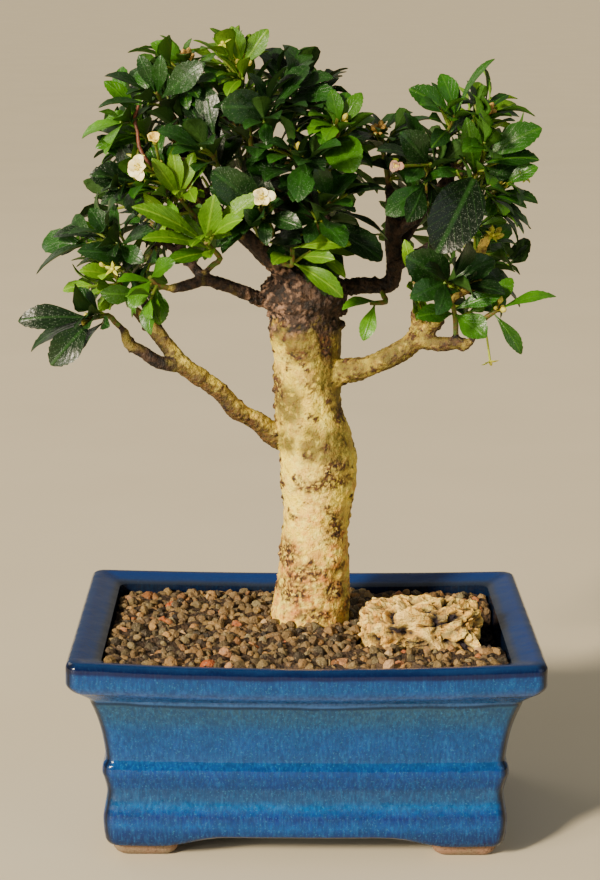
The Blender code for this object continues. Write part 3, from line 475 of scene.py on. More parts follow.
@dataclass(frozen=True)
class SideVeins(Midrib):
    """Its six pairs of side veins, about 3.5 mm apart on a leaf of 22 mm."""

    pairs: float = 6.0

    def nodes(self, paint: "Paint") -> Any:
        """Adds the lines, which slant towards the tip."""
        off, along_leaf = self.across(paint)
        slant = paint.add("ShaderNodeMath", {0: off, 1: along_leaf}, operation="SUBTRACT")
        wave = paint.add("ShaderNodeMath", {
            0: slant.outputs[0], 1: self.pairs * 2 * math.pi}, operation="MULTIPLY")
        wave = paint.add("ShaderNodeMath", {0: wave.outputs[0]}, operation="SINE").outputs[0]
        return paint.socket(Cut(wave, 0.86, 1.0))


class Paint:
    """One material's node tree, in which each pattern is made once."""

    def __init__(self, tree: bpy.types.NodeTree) -> None:
        """Starts on an empty tree."""
        self.tree = tree
        self.made: dict[Any, Any] = {}

    def add(self, kind: str, inputs: Optional[dict] = None, **settings: Any) -> bpy.types.Node:
        """Adds a node whose inputs may also be patterns and colours."""
        given = {key: self.socket(item) for key, item in (inputs or {}).items()}
        return add_node(self.tree, kind, given, **settings)

    def socket(self, item: Any) -> Any:
        """The socket of a pattern or of a stack of layers. Anything else is given back as it is."""
        stacked = isinstance(item, tuple) and isinstance(item[-1], tuple)
        if not stacked and not isinstance(item, Pattern):
            return item
        if item not in self.made:
            self.made[item] = self.layered(item) if stacked else item.nodes(self)
        return self.made[item]

    def layered(self, layers: tuple) -> Any:
        """Lays colours on the first one, each where its pattern is 1."""
        colour = layers[0]
        for where, upper in layers[1:]:
            colour = self.add("ShaderNodeMix", {0: where, 6: colour, 7: upper}, data_type="RGBA").outputs[2]
        return colour

    def bumped(self, bumps: Iterable[tuple[Any, float]]) -> Any:
        """Stacks bumps, each a pattern with the millimetres that 1 stands for, and gives the normal."""
        normal = None
        for height, depth in bumps:
            inputs = {"Height": height, "Strength": 1.0, "Distance": depth * MM}
            if normal:
                inputs["Normal"] = normal
            normal = self.add("ShaderNodeBump", inputs).outputs[0]
        return normal


@dataclass(frozen=True)
class Coat:
    """What every finish gives the Principled shader. These stay constants on its sockets."""

    roughness: float
    ior: float = 1.5
    coat: float = 0.0
    coat_roughness: float = 0.05


@dataclass(frozen=True)
class Finish:
    """A material: its name, the colour that a plain viewport shows, its gloss, its layers and its bumps.

    patchy is the pattern of its roughness, where that isn't the same all over.
    """

    name: str
    shown: str
    coat: Coat
    layers: tuple = ()
    bumps: tuple = ()
    patchy: Any = None

    def build(self) -> bpy.types.Material:
        """Makes the material."""
        material = bpy.data.materials.new(self.name)
        material.use_nodes = True
        material.diffuse_color = linear(self.shown)
        material.node_tree.nodes.clear()
        paint = Paint(material.node_tree)
        inputs = {"Base Color": self.layers, "Roughness": self.patchy or self.coat.roughness,
                  "IOR": self.coat.ior, "Coat Weight": self.coat.coat,
                  "Coat Roughness": self.coat.coat_roughness}
        if self.bumps:
            inputs["Normal"] = paint.bumped(self.bumps)
        shader = paint.add("ShaderNodeBsdfPrincipled", inputs)
        paint.add("ShaderNodeOutputMaterial", {"Surface": shader.outputs[0]})
        return material


# The height on the pot's wall in millimetres, and the colour there. Over the lip it runs on inwards. Most
# bands are the glaze, which ran thick or thin. Two are painted light and shade: the darker blue from 34.6
# to 39.0 is painted shade on the bead's down-facing lower half, and the lighter violet-blue from 75.0 to
# 79.0 is painted light that offsets the shade on the under-lip's down-facing slope.
GLAZE_TOP = 112.0
GLAZE_AND_SHADE_COLOURS = (
    (7.0, "#060926"), (9.5, "#04194c"), (14.0, "#042860"), (16.6, "#054081"), (21.0, "#001c62"),
    # Painted shade: 34.6 to 39.0, the bead's down-facing lower half
    (23.4, "#003b81"), (25.6, "#085192"), (28.2, "#153e68"), (32.6, "#193962"), (34.6, "#002b66"),
    (39.0, "#002f70"), (42.4, "#023579"), (46.4, "#0f3e75"), (52.0, "#053b79"), (60.0, "#083c73"),
    # Painted light: 75.0 to 79.0, lighter and bluer to offset the under-lip's shade
    (66.0, "#194262"), (72.8, "#1f4259"), (73.4, "#06223e"), (74.3, "#06223e"), (75.0, "#2d5386"),
    (79.0, "#2d4f93"), (85.0, "#033b73"), (88.9, "#02316a"), (89.9, "#000d3c"), (92.0, "#000b33"),
    (93.4, "#092851"), (97.0, "#062a68"), (102.0, "#092b62"), (104.4, "#242b3b"), (106.4, "#131a28"),
    (107.0, "#040f2a"), (112.0, "#081e3b"),
)
# The bands wander up and down by less than a millimetre
GLAZE_LEVEL = (Joined("DIVIDE", Mark("level"), GLAZE_TOP) + Grain(22.0, 0.3, 0.7) * (1.0 / GLAZE_TOP)
               - 0.5 / GLAZE_TOP)
GLAZE_AND_SHADE_BANDS = Bands(GLAZE_LEVEL, tuple((height / GLAZE_TOP, colour) for height, colour in GLAZE_AND_SHADE_COLOURS))
GLAZE_STREAKS = Grain(0.9, 0.45, 0.7, 4.0, (1, 1, 0.16))


@dataclass(frozen=True)
class ReactiveGlaze(Finish):
    """Stoneware dipped in a running blue glaze and fired glossy.

    It gives the eye bands of royal and cerulean blue where the glaze ran thick or thin over the
    profile, fine upright streaks, pale flecks, and a near-black line where it broke over the lip.
    Two bands are painted light and shade: painted shade under the bead, and a painted lightening of
    the under-lip. The corners are near-black, partly where the glaze broke over them and partly as a
    painted reflection of the dark room.
    """

    name: str = "blue_reactive_glaze"
    shown: str = "#1d699f"
    coat: Coat = Coat(0.12, 1.4, 0.12, 0.04)
    layers: tuple = (
        GLAZE_AND_SHADE_BANDS, (GLAZE_STREAKS * 0.36, "#19669f"),
        (Grain(1.5, 0.42, 0.62, 5.0, (1, 1, 0.55)) * 0.5, "#022651"),
        (Grain(13.0, 0.4, 0.65) * 0.36, "#022f59"), (Grain(0.8, 0.60, 0.72, 2.0) * 0.26, "#3c88ae"),
        # Near-black corners: partly broken glaze, partly a painted reflection of the dark room
        (Mark("lip") * 0.85, GLAZE_AND_SHADE_BANDS), (Mark("corner"), "#04091a"))
    bumps: tuple = ((Grain(9.0, 0.2, 0.8, 2.0), 0.3), (GLAZE_STREAKS, 0.03), (Grain(0.8, 0.3, 0.8), 0.015))


@dataclass(frozen=True)
class BareClay(Finish):
    """Unglazed fired stoneware, wiped clean before the kiln: dull, tan to pinkish, with fine grit."""

    name: str = "bare_stoneware"
    shown: str = "#b08a6c"
    coat: Coat = Coat(0.85)
    layers: tuple = ("#866650", (Grain(9.0, 0.35, 0.65), "#766850"), (Grain(1.1, 0.55, 0.7), "#563e2e"))
    bumps: tuple = ((Grain(0.8, 0.3, 0.7), 0.12),)


@dataclass(frozen=True)
class PottingSoil(Finish):
    """Moist peat and grit, heaped by hand: nearly black, with brown crumbs a millimetre or two wide."""

    name: str = "potting_soil"
    shown: str = "#2a211b"
    coat: Coat = Coat(0.92)
    layers: tuple = ("#3a2a1e", (Cells(2.4, 0.1, 0.7), "#100c0a"), (Grain(1.2, 0.62, 0.7), "#6b4c33"))
    bumps: tuple = ((Cells(2.4, 0.1, 0.7), -0.9), (Grain(0.9, 0.3, 0.7), 0.4))


@dataclass(frozen=True)
class LavaGravel(Finish):
    """Crushed and tumbled stone, 3 to 6 mm: browns, greys and a few orange and cream stones."""

    name: str = "crushed_gravel"
    shown: str = "#826447"
    coat: Coat = Coat(0.78)
    layers: tuple = (
        Bands(Mark("tint"), (
            (0.00, "#1a150d"), (0.07, "#4f4429"), (0.17, "#755c33"), (0.26, "#2d2618"), (0.37, "#866b38"),
            (0.47, "#605638"), (0.57, "#8d6937"), (0.66, "#3c3327"), (0.75, "#967542"), (0.83, "#786d49"),
            (0.89, "#7e4b1a"), (0.94, "#b49156"), (0.97, "#9e4606"), (1.00, "#cfb482"))),
        (Grain(1.4, 0.45, 0.7, 4.0) * 0.55, "#392c22"), (Grain(0.7, 0.6, 0.7) * 0.4, "#ccb696"))
    bumps: tuple = ((Grain(0.9, 0.3, 0.7, 4.0), 0.3),)


@dataclass(frozen=True)
class BedShadow(Finish):
    """Painted shade for the gaps deep between the stones: a dark sheet under them, dark because no light
    gets there.
    """

    name: str = "gravel_fines"
    shown: str = "#3a2d23"
    coat: Coat = Coat(0.95)
    layers: tuple = ("#1d1611", (Grain(1.6, 0.35, 0.65, 4.0), "#57432f"))
    bumps: tuple = ((Grain(1.2, 0.3, 0.7), 0.5),)


@dataclass(frozen=True)
class CraggyStone(Finish):
    """Weathered limestone, split and washed: cream and tan crags, pits and cracks darkened violet-black
    with painted shade, and one pale vein.
    """

    name: str = "weathered_limestone"
    shown: str = "#cdb79a"
    coat: Coat = Coat(0.88)
    layers: tuple = (
        "#ffcc5c", (Grain(8.0, 0.42, 0.62), "#eab050"), (Grain(3.4, 0.44, 0.60, 4.0), "#ffe27c"),
        # Painted shade in the pits, cracks and hollows
        (Grain(2.4, 0.56, 0.63, 5.0) * 0.65, "#705848"), (Mark("pit"), "#241b24"),
        (Mark("vein"), "#f8d680"), (Grain(0.8, 0.66, 0.72) * 0.8, "#463a36"))
    bumps: tuple = ((Grain(2.2, 0.3, 0.7, 5.0), 0.7), (Grain(0.8, 0.3, 0.7), 0.25))


@dataclass(frozen=True)
class FukienBark(Finish):
    """Living bark of an old fukien tea: thin, corky and dull.

    It gives the eye pale yellow and cream skin, olive and rosy patches, brown scars on every knob,
    a dark red-brown burl, and twigs that are nearly black. Painted shade darkens the bark under the
    burl, in the cleft, under the low branches and on the high branches, and a painted highlight
    lightens the burl's left side.
    """

    name: str = "fukien_tea_bark"
    shown: str = "#e0cd8e"
    coat: Coat = Coat(0.72, 1.45)
    layers: tuple = (
        "#ffe24a", (Grain(9.0, 0.40, 0.6), "#f0cb5a"),
        (Mark("rosy") * Grain(5.5, 0.36, 0.64, 5.0), "#e89a4a"),
        (Grain(3.0, 0.48, 0.62, 4.0) * 0.75, "#fff06c"),
        # Olive patches, with painted shade under the burl and under the low branches
        (Mark("olive") * Grain(4.0, 0.22, 0.45, 4.0) * 0.9, "#5e5416"),
        # Flakes of older brown bark low on the trunk, and freckles a millimetre or two wide
        (Grain(4.5, 0.55, 0.63, 5.0) * (Mark("rosy") * 0.4 + 0.15), "#9c6c2c"),
        (Grain(1.4, 0.57, 0.63, 4.0) * 0.4, "#86601c"),
        # Knob scars, with painted shade in the cleft, under the burl and under the low branches
        (Mark("scar") * Grain(1.4, 0.30, 0.44, 4.0), ("#1c1008", (Grain(1.5, 0.35, 0.65), "#5e3a1a"))),
        # Young twigs, with painted shade on the high branches
        (Mark("young"), ("#120b07", (Grain(2.5, 0.4, 0.6, 4.0), "#3a281a"))),
        # The burl, with a painted highlight on its sunlit left
        (Mark("burl"), ("#0e0906", (Grain(2.6, 0.36, 0.60, 4.0), "#3a281b"),
                        (Grain(3.2, 0.50, 0.62, 4.0) * Mark("rosy") * 0.8, "#94725a"))))
    bumps: tuple = ((Grain(2.4, 0.3, 0.7, 5.0), 0.55), (Grain(0.8, 0.3, 0.7), 0.22))


UNDERSIDE = Cut(Mark("under"), 0.55, 0.75)


def leaf_blade(name: str, colours: Sequence[str], roughness: float, dots: float) -> Finish:
    """A living fukien tea leaf: leathery and waxy, with tiny pale hair dots and a dull, paler underside.

    Args:
        name: The material's name.
        colours: The face of a pale leaf and of a dark one, a young leaf, the veins and the underside.
        roughness: That of its upper side.
        dots: How plainly the hair dots show.

    Returns:
        The finish.
    """
    face, deep, fresh, vein, under = colours
    veins = Joined("MAXIMUM", Midrib(), SideVeins() * 0.45)
    # Hair dots about 0.8 mm apart
    hairs = Cells(0.8, 0.30, 0.12)
    layers = (deep, (Mark("shade"), face), (Mark("young"), fresh), (veins * 0.55, vein),
              (Grain(5.0, 0.4, 0.65) * 0.35, deep), (hairs * dots, "#93a58a"), (UNDERSIDE, under))
    bumps = ((veins, -0.10), (Grain(2.6, 0.3, 0.7, 2.0), 0.16), (hairs, 0.07))
    gloss = Cut(UNDERSIDE, first=roughness, last=0.6)
    return Finish(name, face, Coat(roughness, 1.40), layers, bumps, gloss)


def soft_tissue(name: str, first: str, second: str, tip: str, coat: Coat = Coat(0.5, 1.42)) -> Finish:
    """Soft tissue, such as a stem or a petal: satin, mottled, and of the tip's colour where young."""
    return Finish(name, first, coat, (first, (Grain(1.8, 0.4, 0.62), second), (Mark("young"), tip)),
                  ((Grain(1.2, 0.3, 0.7), 0.08),))


@dataclass(frozen=True)
class MouldedScreen(Finish):
    """Moulded black polyethylene mesh, dusted with soil: dull, with a faint pebbled skin."""

    name: str = "moulded_polyethylene"
    shown: str = "#20221f"
    coat: Coat = Coat(0.55, 1.5)
    layers: tuple = ("#1b1d1a", (Grain(3.0, 0.5, 0.7), "#4b4034"))
    bumps: tuple = ((Grain(0.8, 0.3, 0.7), 0.05),)


@dataclass(frozen=True)
class PaintedBoard(Finish):
    """The floor: board rolled with matt cream paint, hardly mottled."""

    name: str = "pale_painted_board"
    shown: str = "#d9d2ba"
    coat: Coat = Coat(0.7)
    layers: tuple = ("#d7cdb3", (Grain(160.0, 0.35, 0.65), "#d4cab0"))


class Tone(Enum):
    """How old a shoot's leaves are. Each value is the record's slot."""

    DARK = "mature_leaf"
    MID = "green_leaf"
    LIME = "young_leaf"


BLADES = {
    Tone.DARK: leaf_blade(
        "mature_leaf_blade", ("#1e4911", "#071408", "#2a5e0c", "#2c5420", "#2a4a14"), 0.33, 0.20),
    Tone.MID: leaf_blade(
        "green_leaf_blade", ("#275d06", "#0c2e05", "#528c04", "#427018", "#3c661a"), 0.34, 0.08),
    Tone.LIME: leaf_blade(
        "young_leaf_blade", ("#5a8400", "#2c5a04", "#7aac04", "#7ea420", "#66901a"), 0.42, 0.02),
}


# The pot

@dataclass
class Pot:
    """The fired pot: a lofted wall with rim, bead and arched base, a floor with drain holes, and feet."""

    width: float = 203.0
    depth: float = 150.0
    corner: float = 5.0
    # Round each corner, along each long side and along each short side
    steps: tuple = (10, 30, 20)
    bow: float = 2.5
    sag: float = -2.0
    arch: float = 4.4
    floor_under: float = 12.0
    floor_top: float = 18.0
    # How far the wall stands in from the rim's outer edge, and the height, from the lip down
    outer: tuple = (
        (12.5, 91.2), (8.0, 92.6), (3.8, 93.9), (1.6, 93.8), (0.2, 92.2), (0.0, 89.8), (0.0, 84.2),
        (2.0, 80.7), (5.0, 78.2), (8.8, 74.8), (9.5, 72.8), (12.0, 65.5), (14.0, 57.0), (15.3, 46.5),
        (14.2, 43.5), (13.8, 40.0), (14.6, 37.0), (15.7, 31.0), (14.8, 24.5), (14.0, 19.0),
        (14.3, 13.0),
    )
    base_edge: tuple = (16.0, 7.0)
    inner: tuple = ((14.0, 90.2), (14.4, 75.0), (22.0, 55.0), (23.0, 18.0))
    sagging: float = 80.0
    # Where the wall turns over into the rim's top. From there its level counts on inwards
    lip_edge: tuple = (0.2, 92.2)
    # The arch between the feet rises from and to these distances from the middle
    arch_span: tuple = (64.0, 34.0)
    ring_step: float = 1.1
    drain_x: float = 40.0
    drain_radius: float = 7.0
    foot_centre: tuple = (69.5, 42.0)
    foot_size: tuple = (30.0, 28.0)
    # The height of each level of a foot, and how far it has narrowed there
    foot_levels: tuple = ((13.4, 1.0), (3.4, 0.93), (1.6, 0.86), (0.5, 0.77), (0.0, 0.65))
    wobble: float = 0.22
    # The levels go on down the inside from here, by a twelfth of its depth
    inside_level: float = 106.5
    # Further in and higher than this, the rim is also part of the lip's top
    lip_top: tuple = (2.0, 90.0)
    # The levels where the lip and its top begin
    lip_levels: tuple = (89.6, 93.0)
    # How far the colours sag with the rim, and the levels where that begins, is whole and ends
    droop: float = 1.8
    droop_levels: tuple = (60.0, 74.0, 79.5)
    # The level of the dark groove under the rim
    groove: float = 73.9
    # How fast the dark corners set in, from what, and how much of them the lip's top keeps. The dark is
    # partly glaze broken over the corners and partly a painted reflection of the dark room.
    corner_break_and_shade: tuple = (1.9, 0.35, 0.25)

    def outline(self, half_x: float, half_y: float, steps: Sequence[int]) -> list[tuple[float, float]]:
        """Makes a rectangle with rounded corners.

        Args:
            half_x: Half its width.
            half_y: Half its depth.
            steps: Steps round each corner, along each long side and along each short side.

        Returns:
            X and y of its points.
        """
        arcs = []
        for quarter, (sign_x, sign_y) in enumerate(((1, 1), (-1, 1), (-1, -1), (1, -1))):
            x, y = sign_x * (half_x - self.corner), sign_y * (half_y - self.corner)
            turns = [math.pi / 2 * (quarter + step / steps[0]) for step in range(steps[0] + 1)]
            arcs.append([
                (x + self.corner * math.cos(turn), y + self.corner * math.sin(turn)) for turn in turns])
        flat: list[tuple[float, float]] = []
        for quarter, arc in enumerate(arcs):
            (x, y), (next_x, next_y) = arc[-1], arcs[(quarter + 1) % 4][0]
            count = steps[1 + quarter % 2]
            shares = [step / count for step in range(1, count)]
            flat += arc + [(x + (next_x - x) * share, y + (next_y - y) * share) for share in shares]
        return flat

    def arch_rise(self, x: float) -> float:
        """How far the base edge has risen here between the feet, from 0 to 1."""
        outer, inner = self.arch_span
        share = clamped((outer - abs(x)) / (outer - inner))
        return share * share * (3 - 2 * share)

    def profile(self, knots: Sequence[Point]) -> list[tuple[float, float]]:
        """Rounds a profile off, kept inside the span of its own corners."""
        path = smooth_path([(recess, 0.0, z, 0.0) for recess, z in knots], self.ring_step)
        least = min(recess for recess, _ in knots)
        return [(max(point.x, least), min(point.z, max(z for _, z in knots))) for point in path]

    def body(self) -> tuple[list[Vector], list[Face], dict[str, list[float]]]:
        """Lofts the wall.

        Returns:
            Points, faces, and for each point its level, its nearness to a corner and to the lip.
        """
        top = self.inner[0][1]
        levels = [(recess, z, self.inside_level + (top - z) / 12, 0.0)
                  for recess, z in self.profile(self.inner)[::-1]]
        for recess, z in self.profile(self.outer):
            over = recess - self.lip_edge[0]
            on_top = z > self.lip_edge[1] or (over > self.lip_top[0] and z > self.lip_top[1])
            levels.append((recess, z, self.lip_edge[1] + over if on_top else z, 0.0))
        recess, z = self.base_edge
        levels += [(recess - 1.2, z + 2.4, z + 2.4, 0.6), (recess - 0.6, z + 0.9, z + 1.0, 0.9),
                   (recess, z, z, 1.0), (recess + 1.6, z + 0.4, z, 1.0),
                   (recess + 5.0, self.floor_under, z, 0.0)]
        begin, whole, end = self.droop_levels
        speed, threshold, kept = self.corner_break_and_shade
        points: list[Vector] = []
        marks: dict[str, list[float]] = {"level": [], "corner": [], "lip": []}
        for recess, z, level, arched in levels:
            half_x, half_y = self.width / 2 - recess, self.depth / 2 - recess
            lift = self.sag if z > self.sagging else 0.0
            for x, y in self.outline(half_x, half_y, self.steps):
                middle = 1 - (x / half_x) ** 2
                spot = Vector((x, y * (1 + self.bow * middle / half_y), z + lift * middle))
                near = min(abs(spot.x) - half_x, abs(spot.y) - half_y) / self.corner + 1.0
                spot.z += self.arch * arched * self.arch_rise(spot.x)
                swell = 0.6 * self.wobble * noise.noise(spot * 0.03)
                outwards = Vector((math.copysign(swell, spot.x), math.copysign(swell, spot.y), 0))
                points.append(spot + outwards)
                # The colours sag with the rim, and less further down
                sinks = self.droop * clamped((level - begin) / (whole - begin)) if level < end else 0.0
                level_here = level + sinks * (1 - (spot.x / half_x) ** 2)
                marks["level"].append(level_here)
                # The corners' near-black is partly broken glaze and partly a painted reflection of the dark
                # room
                corner_kept = 1.0 if level < self.lip_levels[1] else kept
                marks["corner"].append(clamped(near * speed - threshold) * corner_kept)
                in_lip = level > self.lip_levels[0] or abs(level_here - self.groove) < 1.0
                marks["lip"].append(1.0 if in_lip else 0.0)
        count = len(points) // len(levels)
        faces = ring_faces(len(levels), count, inward=True)
        faces.append(tuple(range(count)))
        faces.append(tuple(reversed(range(len(points) - count, len(points)))))
        return points, faces, marks

    def foot(self, side: int, end: int) -> Shape:
        """One foot, a block with rounded corners that narrows a little downwards."""
        outline = self.outline(self.foot_size[0] / 2, self.foot_size[1] / 2, (6, 1, 1))
        points = [Vector((side * self.foot_centre[0] + x * share, end * self.foot_centre[1] + y * share, z))
                  for z, share in self.foot_levels for x, y in outline]
        count = len(outline)
        caps: list[Face] = [tuple(range(count)), tuple(reversed(range(len(points) - count, len(points))))]
        return points, caps + ring_faces(len(self.foot_levels), count, inward=True)

    def build(self) -> None:
        """Builds the glazed body with its drain holes, and the bare feet."""
        points, faces, marks = self.body()
        body = mesh_object("glazed_pot", points, faces)
        for name, values in marks.items():
            write_attribute(body.data, name, values)
        cutter = self.drill()
        cut = body.modifiers.new("drain", "BOOLEAN")
        cut.operation, cut.solver, cut.object = "DIFFERENCE", "EXACT", cutter
        applied(body)
        bpy.data.objects.remove(cutter)
        dress(body, [ReactiveGlaze().build()], ["pot"], 50)
        feet = Bundle()
        for side in (-1, 1):
            for end in (-1, 1):
                feet.add(*self.foot(side, end))
        dress(feet.piece("pot_feet"), [BareClay().build()], ["pot"], 40)

    def drill(self) -> bpy.types.Object:
        """The two plugs that cut the drain holes."""
        plugs = Bundle()
        for side in (-1, 1):
            path = [(side * self.drain_x, 0, z, self.drain_radius) for z in (0.0, 2 * self.floor_top)]
            plugs.add(*tube(path, 32))
        return plugs.piece("drill")


@dataclass
class Bundle:
    """Points and faces gathered for one piece, with the marks that its materials read."""

    points: list[Vector] = field(default_factory=list)
    faces: list[Face] = field(default_factory=list)
    looks: list[int] = field(default_factory=list)
    marks: dict[str, list[float]] = field(default_factory=lambda: {"shade": [], "young": [], "under": []})
    places: list[tuple[float, float]] = field(default_factory=list)

    def add(self, points: Sequence[Vector], faces: Sequence[Face], look: int = 0, shade: float = 0.5,
            young: Any = 0.0, under: Any = 0.0, places: Any = None) -> None:
        """Adds one closed shape.

        Args:
            points: Its points.
            faces: Its faces, by their place in points.
            look: The number of its material.
            shade: How light it is, from 0 to 1.
            young: How fresh it is, one number or one for each point.
            under: Which points are underneath, one number or one for each point.
            places: U and V of each point.
        """
        start, count = len(self.points), len(points)
        self.points.extend(points)
        self.faces.extend(tuple(start + i for i in face) for face in faces)
        self.looks.extend([look] * len(faces))
        self.marks["shade"].extend([shade] * count)
        self.marks["young"].extend([young] * count if isinstance(young, (int, float)) else young)
        self.marks["under"].extend([under] * count if isinstance(under, (int, float)) else under)
        self.places.extend(places or [(0.5, 0.25)] * count)

    def piece(self, name: str) -> bpy.types.Object:
        """Makes the object, with its marks and its UV map."""
        obj = mesh_object(name, self.points, self.faces)
        for mark_name, values in self.marks.items():
            write_attribute(obj.data, mark_name, values)
        corners = np.empty(len(obj.data.loops), np.int32)
        obj.data.loops.foreach_get("vertex_index", corners)
        layer = obj.data.uv_layers.new(name="blade")
        layer.data.foreach_set("uv", np.asarray(self.places, np.float32)[corners].ravel())
        obj.data.polygons.foreach_set("material_index", self.looks)
        return obj


# The filling: soil, gravel and rock

@dataclass
class Filling:
    """Soil to below the rim, a top dressing of loose stones and one craggy rock."""

    bed_depth: float = 82.5
    bare_floor: float = 78.9
    bare_centre: tuple = (82.0, 1.0)
    bare_half: tuple = (4.0, 29.0)
    rock_centre: tuple = (50.5, -18.0, 92.0)
    rock_half: tuple = (26.5, 13.8, 13.5)
    rock_turn: float = math.radians(-3)
    rock_squareness: float = 0.62
    rock_seat: float = 78.35
    # The height of its large crags, and half the width of its pale vein
    crag: float = 2.4
    vein_half: float = 1.9
    # Pits, sunk and darkened with painted shade, on the side that faces the camera, from the rock's middle:
    # x, z and half sizes
    rock_pits: tuple = (
        (8.5, 9.5, 5.5, 3.6), (0.5, -5.0, 7.5, 3.0), (9, -6.5, 3.0, 2.6), (-8, 2, 2.2, 2.4),
        (-13, 8, 1.8, 3.6),
    )
    # Spacing, smallest and largest radius, chipping and jitter
    stones: tuple = (2.75, 1.4, 2.9, 3.2, 0.9)
    crumbs: tuple = (2.0, 0.7, 1.9, 1.6, 0.6)
    # How far the stones' middles sink below the CAD gravel, and the share of its plan that they cover
    bed_inset: tuple = (0.5, 0.984)

    def top_surface(self, sink: float, tuck: float) -> bpy.types.Object:
        """Copies the upper side of the CAD gravel, for stones to lie on.

        Args:
            sink: How far below it the stones' middles lie, in millimetres.
            tuck: The share of its plan size that is kept, so that no stone lies in the wall.

        Returns:
            The sheet.
        """
        bm = bmesh.new()
        bm.from_mesh(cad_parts["gravel"].data)
        bmesh.ops.remove_doubles(bm, verts=bm.verts, dist=1e-5)
        hidden = [face for face in bm.faces
                  if face.normal.z < 0.2 or face.calc_center_median().z < self.bed_depth * MM]
        bmesh.ops.delete(bm, geom=hidden, context="FACES")
        points = [(v.co - HOME) / MM for v in bm.verts]
        bm.verts.index_update()
        faces = [tuple(v.index for v in face.verts) for face in bm.faces]
        bm.free()
        return mesh_object("gravel_stones", [(p.x * tuck, p.y * tuck, p.z - sink) for p in points], faces)

    def hollow_floor(self) -> bpy.types.Object:
        """The bare soil beside the rock, for crumbs to lie on."""
        (x, y), (wide, deep) = self.bare_centre, self.bare_half
        signs = ((-1, -1), (1, -1), (1, 1), (-1, 1))
        points = [(x + sx * wide, y + sy * deep, self.bare_floor) for sx, sy in signs]
        return mesh_object("soil_crumbs", points, [(0, 1, 2, 3)])

    def stone_tree(self) -> tuple[bpy.types.NodeTree, dict[str, str]]:
        """Builds the tree that scatters stones over a sheet.

        Returns:
            The tree, and the identifier of each of its inputs by name.
        """
        tree = bpy.data.node_groups.new("loose_stones", "GeometryNodeTree")
        face = tree.interface
        face.new_socket("Geometry", in_out="INPUT", socket_type="NodeSocketGeometry")
        named = {}
        kinds = {"Seed": "Int", "Finish": "Material"}
        for name in ("Spacing", "Smallest", "Largest", "Chipping", "Jitter", "Seed", "Finish"):
            kind = kinds.get(name, "Float")
            named[name] = face.new_socket(name, in_out="INPUT", socket_type="NodeSocket" + kind).identifier
        face.new_socket("Geometry", in_out="OUTPUT", socket_type="NodeSocketGeometry")
        given = add_node(tree, "NodeGroupInput").outputs
        spots = add_node(tree, "GeometryNodeDistributePointsOnFaces", {
            "Mesh": given["Geometry"], "Distance Min": given["Spacing"], "Seed": given["Seed"],
            "Density Max": 2.0e5}, distribute_method="POISSON")
        lifted = add_node(tree, "FunctionNodeRandomValue", {
            "Seed": given["Seed"], 0: (0, 0, -1), 1: (0, 0, 1)}, data_type="FLOAT_VECTOR")
        shift = add_node(tree, "ShaderNodeVectorMath", {0: lifted.outputs[0], "Scale": given["Jitter"]},
                         operation="SCALE")
        placed = add_node(tree, "GeometryNodeSetPosition", {
            "Geometry": spots.outputs["Points"], "Offset": shift.outputs[0]})
        stone = add_node(tree, "GeometryNodeMeshIcoSphere", {"Radius": 1.0, "Subdivisions": 2})
        turn = add_node(tree, "FunctionNodeRandomValue", {
            0: (0, 0, 0), 1: (6.28, 6.28, 6.28), "Seed": 3}, data_type="FLOAT_VECTOR")
        shape = add_node(tree, "FunctionNodeRandomValue", {
            0: (0.72, 0.72, 0.6), 1: (1.25, 1.1, 0.95), "Seed": 5}, data_type="FLOAT_VECTOR")
        bulk = add_node(tree, "FunctionNodeRandomValue", {
            2: given["Smallest"], 3: given["Largest"], "Seed": 7}, data_type="FLOAT")
        size = add_node(tree, "ShaderNodeVectorMath", {0: shape.outputs[0], "Scale": bulk.outputs[1]},
                        operation="SCALE")
        copies = add_node(tree, "GeometryNodeInstanceOnPoints", {
            "Points": placed.outputs[0], "Instance": stone.outputs[0], "Rotation": turn.outputs[0],
            "Scale": size.outputs[0]})
        tint = add_node(tree, "FunctionNodeRandomValue", {2: 0.0, 3: 1.0, "Seed": 9}, data_type="FLOAT")
        tinted = add_node(tree, "GeometryNodeStoreNamedAttribute", {
            "Geometry": copies.outputs[0], "Value": tint.outputs[1], "Name": "tint"},
            data_type="FLOAT", domain="INSTANCE")
        real = add_node(tree, "GeometryNodeRealizeInstances", {0: tinted.outputs[0]})
        where = add_node(tree, "GeometryNodeInputPosition")
        chip = add_node(tree, "ShaderNodeTexNoise", {
            "Vector": where.outputs[0], "Scale": per_mm(3.2), "Detail": 2.0})
        centred = add_node(tree, "ShaderNodeVectorMath", {
            0: chip.outputs["Color"], 1: (0.5, 0.5, 0.5)}, operation="SUBTRACT")
        push = add_node(tree, "ShaderNodeVectorMath", {0: centred.outputs[0], "Scale": given["Chipping"]},
                        operation="SCALE")
        chipped = add_node(tree, "GeometryNodeSetPosition", {0: real.outputs[0], "Offset": push.outputs[0]})
        painted = add_node(tree, "GeometryNodeSetMaterial", {
            0: chipped.outputs[0], "Material": given["Finish"]})
        add_node(tree, "NodeGroupOutput", {0: painted.outputs[0]})
        return tree, named

    def scatter(self, sheet: bpy.types.Object, tree: bpy.types.NodeTree, named: dict[str, str],
                sizes: Sequence[float], seed: int, finish: bpy.types.Material) -> bpy.types.Object:
        """Turns a sheet into the stones that lie on it.

        Args:
            sheet: The ground.
            tree: The scattering tree.
            named: The identifiers of its inputs.
            sizes: Spacing, smallest and largest radius, chipping and jitter, in millimetres.
            seed: The seed of its random numbers.
            finish: The stones' material.

        Returns:
            The same object, now holding the stones.
        """
        modifier = sheet.modifiers.new("stones", "NODES")
        modifier.node_group = tree
        for name, size in zip(("Spacing", "Smallest", "Largest", "Chipping", "Jitter"), sizes):
            modifier[named[name]] = size * MM
        modifier[named["Seed"]], modifier[named["Finish"]] = seed, finish
        applied(sheet)
        return sheet

